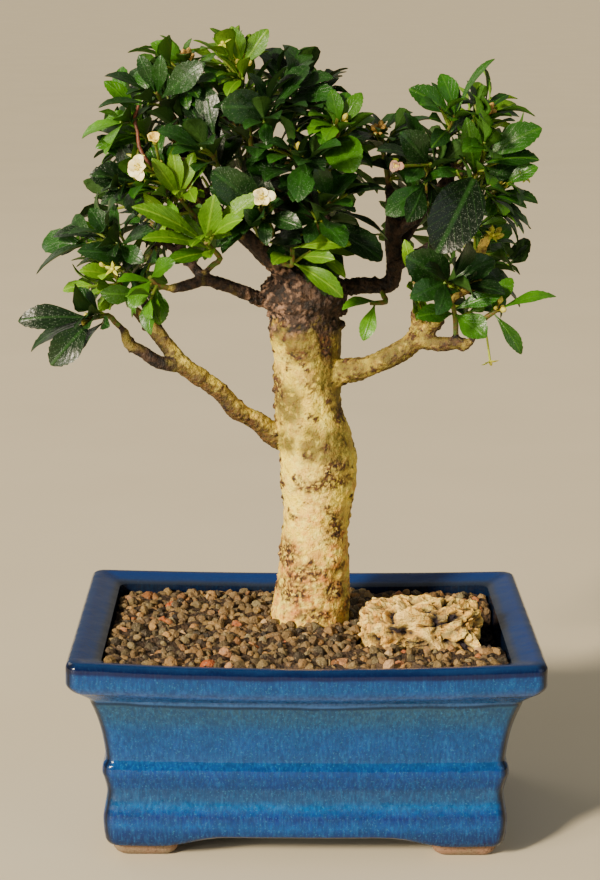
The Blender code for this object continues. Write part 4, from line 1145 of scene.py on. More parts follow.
    def rock(self) -> bpy.types.Object:
        """Makes the rock: a blocky stone with crags, pits and one pale diagonal vein."""
        points, faces = ball((0, 0, 0), (1, 1, 1), 6)
        turn = Matrix.Rotation(self.rock_turn, 3, "Z")
        shaped, pits, veins = [], [], []
        for unit in points:
            blocky = [math.copysign(abs(c) ** self.rock_squareness, c) for c in unit]
            length = max(abs(c) for c in blocky)
            crag = 1 + self.crag / 14 * noise.noise(unit * 2.1 + Vector((3, 1, 7)))
            crag += self.crag / 28 * noise.noise(unit * 5.3)
            sharp = max(length, 1e-6) ** 0.35
            spot = Vector([blocky[i] / sharp * self.rock_half[i] * crag for i in range(3)])
            out = Vector((spot.x / 2.2, spot.y, spot.z)).normalized()
            ridges = 1 - 2 * abs(noise.noise(spot * 0.16 + Vector((5, 2, 9))))
            lumps = rumble(spot, (0.33, 1.0), (0.75, 0.5), (1.5, 0.2))
            first, second = noise.voronoi(spot * 0.12 + Vector((0.3 * lumps, 0, 2)))[0][:2]
            crack = math.exp(-((second - first) / 0.10) ** 2)
            hollow = noise.noise(spot * 0.21 + Vector((11, 4, 2)))
            pit = clamped((hollow - 0.18) * 4)
            for patch in self.rock_pits if spot.y < 0 else ():
                ragged = 0.75 + 0.6 * noise.noise(spot * 0.6)
                pit = max(pit, min(1.0, 1.3 * math.exp(-off_centre(spot, patch)) * ragged))
            # The pale vein slants down across the front
            off_vein = 9.0
            if -10 < spot.x < 13 and spot.y < 2:
                off_vein = abs((spot.x - 5.5) * 0.66 + (spot.z + 1) * 0.75)
            vein = math.exp(-((off_vein + 0.8 * lumps) / self.vein_half) ** 2)
            pit *= 1 - vein
            crack *= 1 - vein
            rugged = 0.6 * ridges + lumps - 1.6 * crack - 3.4 * (first - 0.4)
            deep = rugged * (1 - 0.45 * vein) - 3.6 * pit + 1.6 * vein
            placed = turn @ (spot + out * (deep - 0.6)) + Vector(self.rock_centre)
            placed.z = max(placed.z, self.rock_seat)
            shaped.append(placed)
            # Painted shade: the pits, the cracks and the low hollows are darkened
            pits.append(min(1.0, pit + 0.8 * crack + max(0.0, -0.9 * lumps - 0.3) * (1 - vein)))
            veins.append(vein * 0.8)
        obj = mesh_object("craggy_rock", shaped, faces)
        write_attribute(obj.data, "pit", pits)
        write_attribute(obj.data, "vein", veins)
        return obj

    def build(self) -> None:
        """Dresses the soil, screens and gravel bed, and adds the stones, the crumbs and the rock."""
        soil, shadow, screen = PottingSoil().build(), BedShadow().build(), MouldedScreen().build()
        finishes = {"soil": soil, "gravel": shadow, "drain_mesh_left": screen, "drain_mesh_right": screen}
        for node, finish in finishes.items():
            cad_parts[node].data.materials.clear()
            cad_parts[node].data.materials.append(finish)
        tree, named = self.stone_tree()
        lava = LavaGravel().build()
        stones = self.scatter(self.top_surface(*self.bed_inset), tree, named, self.stones, 4, lava)
        dress(stones, [], [], 0)
        crumbs = self.scatter(self.hollow_floor(), tree, named, self.crumbs, 8, soil)
        dress(crumbs, [], [], 0)
        dress(self.rock(), [CraggyStone().build()], ["rock"], 60)


# What grows: the same paths and the same rule as the part's source

STUMP = ((1.5, 15, 55, 12.5), (2.3, 15, 79, 17.6), (2.3, 15, 86, 18.0))
TRUNK = (
    (2.3, 15, 86, 18.0), (3.1, 15, 95, 17.2), (3.9, 15, 106, 16.4), (4.1, 15, 117, 15.8),
    (4.4, 15, 128, 14.9), (5.0, 15, 137, 14.8), (5.5, 15, 146, 16.2), (5.4, 15, 154, 17.1),
    (5.5, 15, 161, 17.2), (4.6, 15, 169, 16.3), (3.0, 15, 177, 15.7), (1.0, 15, 186, 15.0),
    (0.4, 15, 196, 14.7), (0.4, 15, 206, 14.8), (0.0, 15, 215, 15.5), (-1.0, 15, 223, 15.8),
    (-1.6, 15, 231, 15.2), (-1.8, 15, 240, 14.0), (-1.8, 15, 248, 10.0),
)
BURL_CENTRE = (-1.6, 15, 237)
BURL_HALF = (19.0, 18.0, 13.0)
BRANCHES = {
    "left": ((0, 15, 166, 6.0), (-14, 15, 173, 5.4), (-22, 12, 180, 4.4), (-31, 9, 185.5, 4.2),
             (-39, 6, 195, 4.0), (-51, 3, 204, 4.1), (-56, 2, 208, 4.1)),
    "left_fork_up": ((-55, 2, 207, 3.6), (-63, 4, 217, 3.3), (-70, 6, 225, 2.9), (-76, 6, 231, 2.1)),
    "left_fork_out": ((-55, 2, 207, 3.4), (-65, -2, 209, 3.0), (-72, -4, 214, 2.8),
                      (-78, -6, 218, 2.5), (-80, -7, 224, 1.9)),
    "left_fork_back": ((-62, 4, 216, 2.6), (-70, 14, 228, 2.2), (-76, 22, 238, 1.6)),
    "upper_left": ((-8, 14, 235, 3.6), (-20, 9, 235, 3.3), (-27, 4, 239, 3.0), (-38, -2, 244, 2.8),
                   (-45, -6, 246, 2.7), (-53, -9, 244, 2.4), (-59, -11, 243, 1.9)),
    "upper_left_rise": ((-44, -6, 245, 2.3), (-54, -2, 256, 2.0), (-64, 2, 262, 1.6)),
    "right": ((2, 15, 197, 6.2), (15, 10, 203, 5.8), (25, 4, 206, 4.9), (35, 0, 211, 4.6),
              (43, -2, 216, 4.6), (49, -3, 222, 4.3)),
    "right_fork_up": ((48, -3, 221, 3.4), (48, -3, 229, 2.9), (48, -3, 234, 2.3)),
    "right_fork_mid": ((48, -3, 221, 3.3), (55, -6, 227, 2.8), (58, -7, 231, 2.2)),
    "right_fork_low": ((48, -3, 220, 3.6), (56, -8, 219, 3.2), (64, -12, 220, 2.8), (70, -14, 220, 2.3)),
    "right_fork_back": ((54, -5, 226, 2.6), (62, 8, 238, 2.4), (68, 14, 252, 1.8)),
    "upper_right": ((6, 17, 238, 4.2), (23, 22, 240, 3.7), (36, 25, 240, 3.7), (39, 26, 247, 3.9),
                    (38, 26, 264, 3.6), (38, 26, 276, 3.0), (36, 25, 283, 2.2)),
    "upper_right_front": ((38, 26, 262, 3.0), (50, 18, 274, 2.6), (60, 12, 288, 2.0), (66, 8, 294, 1.6)),
    "upper_right_back": ((38, 26, 252, 3.0), (48, 36, 266, 2.4), (60, 36, 284, 2.0), (66, 34, 292, 1.6)),
    "upper_right_side": ((39, 26, 248, 2.8), (54, 18, 258, 2.4), (66, 10, 266, 1.8)),
    "leader": ((-2, 15, 242, 7.0), (-7, 20, 264, 5.0), (-18, 22, 290, 3.8), (-29, 21, 310, 2.4)),
    "front_left": ((-6, 10, 242, 5.0), (-22, 3, 260, 3.4), (-42, 1, 278, 2.8), (-58, 6, 298, 1.8)),
    "back_left": ((-6, 22, 242, 5.0), (-27, 35, 259, 3.4), (-47, 43, 277, 2.8), (-55, 41, 302, 1.8)),
    "back": ((2, 26, 240, 5.0), (4, 40, 260, 3.2), (-2, 48, 284, 2.6), (-6, 45, 303, 1.8)),
    "front_right": ((5, 9, 242, 5.0), (8, 5, 262, 3.2), (4, 6, 282, 2.6), (-6, 8, 298, 1.8)),
}
# How dark and young the bark of each branch is, from pale old bark at 0. Values over 1 are painted shade:
# the high branches darkened for the shade of the leaves.
BRANCH_YOUTH_AND_SHADE = {
    "left": 0.2, "left_fork_up": 0.4, "left_fork_out": 0.9, "right": 0.15, "right_fork_up": 0.1,
    "right_fork_mid": 0.15, "right_fork_low": 0.3, "right_fork_back": 0.1, "upper_left": 1.1,
    "upper_right": 1.2,
}
YOUNG_BRANCH = 1.2


@dataclass(frozen=True)
class Shoot:
    """A green stem from the end of a twig to its tip, and what grows on it.

    marked holds the leaves that show in their own places: how far along the stem each grows, its tip,
    its width and how far it is turned to the front. flowers holds the seat of each flower.
    """

    name: str
    butt: tuple
    tip: tuple
    leaves: int
    length: float
    tone: Tone
    buds: int = 0
    marked: tuple = ()
    flowers: tuple = ()


DARK, MID, LIME = Tone
SHOOTS = tuple(Shoot(*row) for row in (
    ("far_left", (-84, -8, 228), (-94, -13, 230), 1, 22, DARK, 1, (
     (0.9, (-125, -16, 230), 12, 60), (0.9, (-111, -20, 211), 14, 80), (0.5, (-123, 4, 214), 10, 35),
     (0.6, (-101, -10, 243), 8, 45))),
    ("left_low", (-79, 6, 236), (-85, -2, 251), 2, 20, LIME, 2, (
     (0.9, (-91, -6, 262), 9, 55), (0.6, (-99, -6, 250), 9, 50), (0.3, (-91, -5, 232), 8, 60))),
    ("left_wing", (-70, 2, 256), (-88, -6, 264), 1, 24, DARK, 0, (
     (0.2, (-98, -14, 260), 10, 45), (0.9, (-118, -10, 250), 8, 5), (1.0, (-111, -2, 265), 8, 30),
     (0.9, (-94, -4, 277), 9, 50))),
    ("left_shoulder", (-66, 7, 276), (-75, -2, 290), 3, 25, DARK, 0, (
     (0.75, (-94, -8, 291), 13, 65), (0.5, (-90, -2, 279), 10, 35))),
    ("left_upper", (-64, 10, 297), (-73, 4, 314), 3, 23, MID, 0, (
     (0.9, (-88, 2, 314), 9, 50), (0.6, (-92, 0, 303), 9, 45), (1.0, (-88, 5, 331), 9, 40))),
    ("left_crown", (-58, 8, 310), (-66, 1, 326), 3, 24, DARK, 0, (
     (1.0, (-73, -2, 342), 7, 80), (0.9, (-63, -5, 342), 7, 70), (0.8, (-45, -10, 339), 12, 70))),
    ("crown_left", (-48, 17, 322), (-53, 8, 339), 4, 22, MID, 4, (
     (0.9, (-68, 4, 347), 9, 60),)),
    ("crown_top", (-31, 18, 320), (-29, 9, 337), 4, 22, LIME, 3, (
     (1.0, (-34, 5, 354), 10, 70), (0.95, (-18, 5, 353), 10, 70))),
    ("crown_face", (-15, 4, 304), (-18, -8, 321), 3, 25, DARK, 0, (
     (0.95, (-37, -20, 322), 15, 80),)),
    ("crown_slope", (-10, 17, 314), (-8, 10, 330), 4, 24, DARK, 0, (
     (0.8, (10, 5, 333), 10, 35), (0.6, (12, -2, 325), 11, 50))),
    ("crown_right", (6, 8, 296), (13, -2, 312), 2, 22, MID, 2, (
     (1.0, (9, -3, 328), 8, 80), (0.9, (22, -4, 327), 8, 70), (0.7, (19, -17, 295), 17, 85))),
    ("valley", (35, 23, 289), (31, 12, 308), 4, 23, DARK, 4),
    ("left_bloom", (-58, 0, 282), (-63, -13, 293), 2, 22, MID, 2, (), ((-71, -25, 296), (-65, -24, 307))),
    ("lime_upright", (-51, -2, 269), (-55, -12, 282), 1, 20, LIME, 0, (
     (0.9, (-66, -17, 300), 8, 75), (1.0, (-58, -17, 304), 8, 80), (1.0, (-49, -14, 302), 8, 60))),
    ("lime_hub", (-41, -6, 253), (-44, -17, 264), 1, 24, LIME, 0, (
     (0.8, (-74, -28, 281), 11, 50), (0.6, (-70, -29, 268), 10, 40), (1.0, (-40, -29, 285), 12, 80),
     (1.0, (-21, -27, 286), 11, 55), (0.5, (-61, -27, 256), 9, 50))),
    ("centre_bloom", (-18, 0, 264), (-21, -14, 279), 2, 24, DARK, 1, (
     (0.8, (-41, -28, 295), 15, 75),), ((-20, -27, 284),)),
    ("burl_leaves", (-9, -4, 253), (-7, -12, 261), 1, 24, LIME, 0, (
     (0.4, (15, -17, 241), 11, 55), (1.0, (18, -18, 264), 11, 45))),
    ("centre_dark", (5, 2, 268), (9, -8, 281), 3, 26, DARK, 0, (
     (0.3, (32, -8, 256), 15, 40), (1.0, (3, -15, 297), 9, 75), (0.8, (35, -3, 265), 9, 10))),
    ("centre_fill", (0, 1, 287), (-5, -12, 300), 3, 24, DARK, 1),
    ("left_fill", (-40, -2, 288), (-43, -14, 305), 4, 25, DARK),
    ("crown_fill", (-25, 10, 303), (-27, -2, 320), 4, 24, DARK),
    ("hanging", (34, 18, 236), (28, 10, 234), 0, 22, MID, 0, (
     (0.8, (25, 5, 218), 8, 65), (0.5, (15, -2, 234), 8, 20))),
    ("right_upright", (48, -4, 239), (46, -8, 246), 2, 20, LIME, 0, (
     (1.0, (41, -14, 265), 7, 70),)),
    ("right_face", (66, 2, 280), (71, -12, 293), 1, 26, DARK, 0, (
     (0.95, (54, -33, 263), 22, 80),)),
    ("right_crown", (60, 11, 300), (63, 3, 317), 3, 23, MID, 0, (
     (0.95, (43, 0, 329), 12, 60), (1.0, (57, 5, 335), 10, 60), (1.0, (78.5, 2, 342), 6.5, 15))),
    ("right_top", (71, 10, 300), (76, 3, 317), 3, 21, MID, 4),
    ("right_wing", (68, 3, 287), (75, -7, 301), 1, 24, MID, 0, (
     (0.9, (99, -10, 313), 14, 60), (0.8, (98, -12, 300), 11, 40), (0.5, (66, -18, 317), 10, 75))),
    ("right_dark", (54, 10, 284), (52, -4, 297), 2, 26, DARK, 0, (
     (0.9, (39, -13, 311), 14, 65),), ((38, -17, 297),)),
    ("right_tail", (70, 4, 274), (81, -3, 286), 2, 20, MID, 2, (
     (0.9, (99, -6, 281), 8, 30), (0.6, (94, -2, 273), 7, 40))),
    ("right_star", (70, 6, 258), (79, -2, 265), 2, 21, MID, 3),
    ("right_round", (59, -9, 236), (61, -14, 248), 1, 24, DARK, 0, (
     (0.8, (42, -27, 260), 17, 75), (0.9, (80, -12, 257), 12, 60))),
    ("right_gloss", (64, -13, 226), (62, -20, 238), 0, 22, MID, 0, (
     (0.6, (76, -28, 226), 13, 65), (0.8, (83, -24, 244), 9, 60), (0.6, (46, -30, 235), 10, 60))),
    ("far_right", (74, -16, 228), (81, -20, 236), 0, 20, MID, 2, (
     (0.9, (106, -20, 243), 8, 25), (0.8, (92, -25, 218), 7, 55), (0.6, (88, -12, 249), 8, 50))),
    ("left_under", (-62, -13, 244), (-68, -18, 249), 1, 22, MID, 0, (
     (0.8, (-76, -27, 237), 9, 55), (0.6, (-63, -20, 229), 10, 75), (0.3, (-38, -4, 235), 8, 5),
     (0.9, (-57, -27, 258), 9, 60))),
    ("back_left_low", (-78, 25, 241), (-91, 33, 250), 4, 22, MID),
    ("back_left_wing", (-64, 36, 266), (-82, 46, 273), 5, 24, DARK),
    ("back_left_shoulder", (-62, 40, 292), (-76, 50, 304), 5, 24, DARK),
    ("back_left_crown", (-53, 38, 310), (-59, 42, 329), 5, 23, MID),
    ("back_crown", (-30, 34, 316), (-29, 42, 334), 5, 23, LIME, 2),
    ("back_crown_right", (-6, 40, 309), (3, 46, 325), 5, 23, DARK),
    ("back_right_shoulder", (10, 38, 288), (22, 46, 302), 5, 23, MID),
    ("back_middle_high", (-26, 54, 290), (-32, 69, 300), 5, 24, DARK),
    ("back_middle_low", (-36, 50, 258), (-46, 63, 263), 4, 24, MID),
    ("back_centre_low", (4, 50, 264), (8, 65, 271), 4, 23, DARK),
    ("right_back_low", (68, 20, 248), (81, 30, 247), 4, 22, DARK),
    ("right_back_crown", (69, 34, 296), (76, 40, 312), 5, 22, LIME),
    ("right_back_middle", (47, 44, 284), (47, 59, 295), 5, 23, DARK),
    ("right_back_inner", (44, 42, 258), (42, 58, 263), 4, 23, MID),
))

# The rule by which it grows: sizes in millimetres, and shares of a leaf's length or half width
CLEARANCE = 0.35
STEM_RADIUS = 1.25
STEM_LEAD = 4.0
TWIG_RADIUS = 1.5
LEAF_THICKNESS = 1.2
LEAF_WIDTH_SHARE = 0.46
LEAF_WIDEST_AT = 0.62
LEAF_ARCH = 0.07
LEAF_DROOP = 0.03
LEAF_FOLD = 0.16
SAFE = 0.3
CROWN_HEART = Vector((-10, 18, 262))
BUD_LENGTH = 6.5
BUD_RADIUS = 1.5
FLOWER_RADIUS = 4.6
FLOWER_DEPTH = 3.2
CALYX_RADIUS = 1.3


def nearest_on_wood(spot: Vector) -> Vector:
    """The point of a branch's centre line nearest to this spot."""
    nearest = None
    for path in BRANCHES.values():
        for start, end in zip(path, path[1:]):
            a, b = Vector(start[:3]), Vector(end[:3])
            share = clamped((spot - a).dot(b - a) / (b - a).length_squared)
            near = a + (b - a) * share
            if nearest is None or (near - spot).length < (nearest - spot).length:
                nearest = near
    return nearest


def twig_path(shoot: Shoot) -> tuple:
    """A twig from the nearest branch to the butt of a shoot, which it meets end to end."""
    butt = Vector(shoot.butt)
    root = nearest_on_wood(butt)
    end = butt - (butt - root).normalized() * CLEARANCE
    return ((*root, TWIG_RADIUS), (*end, STEM_RADIUS))


def stem_path(shoot: Shoot) -> tuple:
    """The green stem, which leaves its twig straight and then bends to its tip."""
    butt, tip = Vector(shoot.butt), Vector(shoot.tip)
    bend = butt + (butt - nearest_on_wood(butt)).normalized() * STEM_LEAD
    return ((*butt, STEM_RADIUS), (*bend, STEM_RADIUS), (*tip, STEM_RADIUS * 0.8))


def calyx_path(shoot: Shoot, centre: Point) -> tuple[tuple, Vector, Vector]:
    """The stalk and calyx from the stem's tip to the foot of a flower, the foot and its direction."""
    tip, _, _ = along(stem_path(shoot), 0.95)
    seat = Vector(centre)
    ahead = (seat - tip).normalized()
    foot = seat - ahead * CLEARANCE
    neck = foot - ahead * 2.5
    return ((*tip, 0.7), (*neck, 0.7), (*foot, CALYX_RADIUS)), seat, ahead


@dataclass
class Leaf:
    """A leaf in millimetres: its root on the stem, the way it points, and its upper side."""

    root: Vector
    ahead: Vector
    upper: Vector
    length: float
    width: float
    marked: bool = False

    def points(self, grow: float = 0.0, start: float = 0.0) -> list[Vector]:
        """Its thirteen plain corners. With grow it is fatter all round, and start moves the root out."""
        side = self.upper.cross(self.ahead)
        half = self.width / 2
        arch = LEAF_ARCH * self.length
        fold = LEAF_FOLD * half
        droop = -LEAF_DROOP * self.length
        thick = LEAF_THICKNESS / 2 + grow
        local = (
            (start, 0.7 + grow, 0), (start, -0.7 - grow, 0),
            (start, 0, 0.5 + grow), (start, 0, -0.5 - grow),
            (LEAF_WIDEST_AT, half + grow, arch + fold), (LEAF_WIDEST_AT, -half - grow, arch + fold),
            (LEAF_WIDEST_AT, 0, arch + thick), (LEAF_WIDEST_AT, 0, arch - thick),
            (0.94, 0.62 * half + grow, 0.2 * arch), (0.94, -0.62 * half - grow, 0.2 * arch),
            (0.91, 0.30 * half, 0.2 * arch), (0.91, -0.30 * half, 0.2 * arch),
            (1.0 + grow / self.length, 0, droop),
        )
        return [self.root + self.ahead * (u * self.length) + side * v + self.upper * w for u, v, w in local]


LEAF_TOP = (
    (2, 6, 4), (2, 4, 0), (2, 1, 5), (2, 5, 6), (6, 8, 4), (6, 10, 8), (6, 12, 10), (6, 5, 9),
    (6, 9, 11), (6, 11, 12),
)
LEAF_UNDER = tuple(tuple({2: 3, 6: 7}.get(i, i) for i in reversed(face)) for face in LEAF_TOP)
LEAF_FACES = LEAF_TOP + LEAF_UNDER + ((1, 2, 0), (1, 0, 3))


def tube_points(path: Sequence[Point], sides: int = 6) -> Shape:
    """Corners and faces of a plain tube round a path, to test against."""
    points = []
    for index, (x, y, z, radius) in enumerate(path):
        before = Vector(path[max(index - 1, 0)][:3])
        after = Vector(path[min(index + 1, len(path) - 1)][:3])
        turn = (after - before).to_track_quat("Z", "Y")
        for corner in range(sides):
            angle = 2 * math.pi * corner / sides
            offset = Vector((math.cos(angle), math.sin(angle), 0)) * radius * 1.05
            points.append(Vector((x, y, z)) + turn @ offset)
    return points, ring_faces(len(path), sides)


def bud_shapes(shoot: Shoot) -> list[Shape]:
    """Buds on short stalks round the tip of the stem, as plain spindles with sunk roots."""
    draw = random.Random(f"buds {shoot.name}")
    tip, ahead, _ = along(stem_path(shoot), 0.97)
    shapes = []
    for index in range(shoot.buds):
        across = turned_across(ahead, index * GOLDEN_ANGLE + draw.uniform(0, 0.5))
        way = (ahead + across * draw.uniform(0.35, 0.8)).normalized()
        length = BUD_LENGTH * draw.uniform(0.85, 1.25)
        side = way.orthogonal().normalized()
        turns = [Matrix.Rotation(quarter * math.pi / 2, 3, way) for quarter in range(4)]
        ring = [tip + way * (0.72 * length) + turn @ side * BUD_RADIUS for turn in turns]
        faces = [(0, 1 + (i + 1) % 4, 1 + i) for i in range(4)]
        faces += [(5, 1 + i, 1 + (i + 1) % 4) for i in range(4)]
        shapes.append(([tip.copy()] + ring + [tip + way * length], faces))
    return shapes


def corolla(centre: Vector, ahead: Vector) -> Shape:
    """The plain five-lobed flower that the part's source grows, to test against."""
    turn = (ahead + Vector((0, -0.5, 0.1))).to_track_quat("Z", "Y")
    points: list[Vector] = []
    count = 15
    for level, (height, radius) in enumerate(((0.0, 1.1), (FLOWER_DEPTH, FLOWER_RADIUS))):
        for corner in range(count):
            angle = 2 * math.pi * corner / count
            lobe = 0.52 if level and corner % 3 == 0 else 1.0
            spot = Vector((math.cos(angle), math.sin(angle), 0)) * radius * lobe
            points.append(centre + turn @ (spot + Vector((0, 0, height * (0.85 if lobe < 1 else 1)))))
    middle = len(points)
    points += [centre + turn @ Vector((0, 0, FLOWER_DEPTH * 0.6)), centre]
    faces: list[Face] = []
    for i in range(count):
        j = (i + 1) % count
        faces += [(i, j, count + j), (i, count + j, count + i), (count + i, count + j, middle),
                  (j, i, middle + 1)]
    return points, faces


@dataclass
class Growth:
    """What has grown so far, so that nothing new crosses it."""

    grown: list = field(default_factory=list)

    def add(self, owner: str, points: list[Vector], faces: Sequence[Face]) -> None:
        """Records a grown solid."""
        centre = sum(points, Vector()) / len(points)
        reach = max((p - centre).length for p in points)
        self.grown.append((owner, centre, reach, BVHTree.FromPolygons(points, faces)))

    def is_clear(self, owner: str, leaf: Leaf, safe: float = SAFE) -> bool:
        """Whether a leaf crosses nothing, apart from its own shoot close to its root.

        Args:
            owner: The shoot's name.
            leaf: The leaf to try.
            safe: How far it must stay from others, in millimetres.

        Returns:
            True if it is clear.
        """
        whole = leaf.points(safe)
        outer = leaf.points(safe, 0.3)
        centre = sum(whole, Vector()) / len(whole)
        reach = max((p - centre).length for p in whole)
        trees = (BVHTree.FromPolygons(whole, LEAF_FACES), BVHTree.FromPolygons(outer, LEAF_FACES))
        for other, middle, other_reach, tree in self.grown:
            if (middle - centre).length > reach + other_reach:
                continue
            if trees[other == owner].overlap(tree):
                return False
        return True


def turned_upper(ahead: Vector, facing: float) -> Vector:
    """The upper side of a leaf: 0 faces the sky, and 90 faces the front."""
    turn = math.radians(facing)
    wanted = Vector((0, -math.sin(turn), math.cos(turn)))
    return squared_to(ahead, wanted)


def marked_leaf(shoot: Shoot, marked: tuple, nudge: Point) -> Leaf:
    """A leaf whose place is known. A nudge turns it, swings its tip in depth and shortens it."""
    share, place, width, facing = marked
    root, _, _ = along(stem_path(shoot), share)
    swing, turn, shrink = nudge
    tip = Vector(place) + Vector((0, swing, 0))
    ahead = (tip - root).normalized()
    length = (tip - root).length * shrink
    return Leaf(root, ahead, turned_upper(ahead, facing + turn), length, width * shrink, True)


def ruled_leaf(shoot: Shoot, index: int, attempt: int) -> Leaf:
    """A leaf placed by the plant's rule: one after another round the stem, longest near its foot."""
    draw = random.Random(f"{shoot.name} {index} {attempt}")
    share = 0.22 + 0.78 * (index + 0.5) / shoot.leaves
    root, along_stem, _ = along(stem_path(shoot), min(share, 0.98))
    start = random.Random(shoot.name).uniform(0, 2 * math.pi)
    turn = start + (index + 0.37 * attempt) * GOLDEN_ANGLE + draw.uniform(-0.3, 0.3)
    across = turned_across(along_stem, turn)
    splay = math.radians(78 - 38 * share + draw.uniform(-10, 10))
    outward = (root - CROWN_HEART).normalized()
    ahead = along_stem * math.cos(splay) + across * math.sin(splay) + outward * 0.35
    ahead.normalize()
    upper = along_stem * 0.6 + Vector((0, 0, 0.9)) + outward * 0.5
    upper = squared_to(ahead, upper)
    length = shoot.length * (1.05 - 0.35 * share) * draw.uniform(0.85, 1.05) * (1 - 0.02 * attempt)
    return Leaf(root, ahead, upper, length, length * LEAF_WIDTH_SHARE * draw.uniform(0.95, 1.2))


# What a leaf with a place of its own may try: swing in depth, turn and shortening, the least first
NUDGES = [(swing, turn, shrink) for shrink in (1.0, 0.85) for swing in (0, -5, 5, -10, 10)
          for turn in (0, -18, 18)]
ATTEMPTS = 14


@dataclass
class Sprig:
    """A fine side stem with small leaves, which only the visual model has."""

    path: tuple
    leaves: list = field(default_factory=list)


@dataclass
class Camera:
    """The photograph's viewing angle, in millimetres from the pot's middle."""

    place: tuple = (-13.04, -972.35, 385.52)
    pitch: float = 0.2141
    yaw: float = -0.01037
    roll: float = 0.00765
    focal_pixels: float = 2245.0
    long_side: int = 880
    sensor: float = 36.0
    plant_depth: float = 15.0

    def seen(self, spot: Vector) -> Vector:
        """Where a spot shows on the upright plane through the trunk, flattened for a search."""
        eye = Vector(self.place)
        share = (self.plant_depth - eye.y) / (spot.y - eye.y)
        on_plane = eye + (spot - eye) * share
        return Vector((on_plane.x, 0, on_plane.z))

    def build(self) -> None:
        """Makes the camera and gives it to the scene."""
        data = bpy.data.cameras.new("photo_camera")
        data.sensor_fit = "AUTO"
        data.sensor_width = self.sensor
        data.lens = self.focal_pixels * self.sensor / self.long_side
        data.clip_start, data.clip_end = 0.05, 50.0
        camera = bpy.data.objects.new("photo_camera", data)
        camera.location = row_point(self.place)
        level = Euler((math.pi / 2 - self.pitch, 0.0, self.yaw)).to_matrix()
        camera.rotation_euler = (level @ Matrix.Rotation(self.roll, 3, "Z")).to_euler()
        bpy.context.scene.collection.objects.link(camera)
        bpy.context.scene.camera = camera


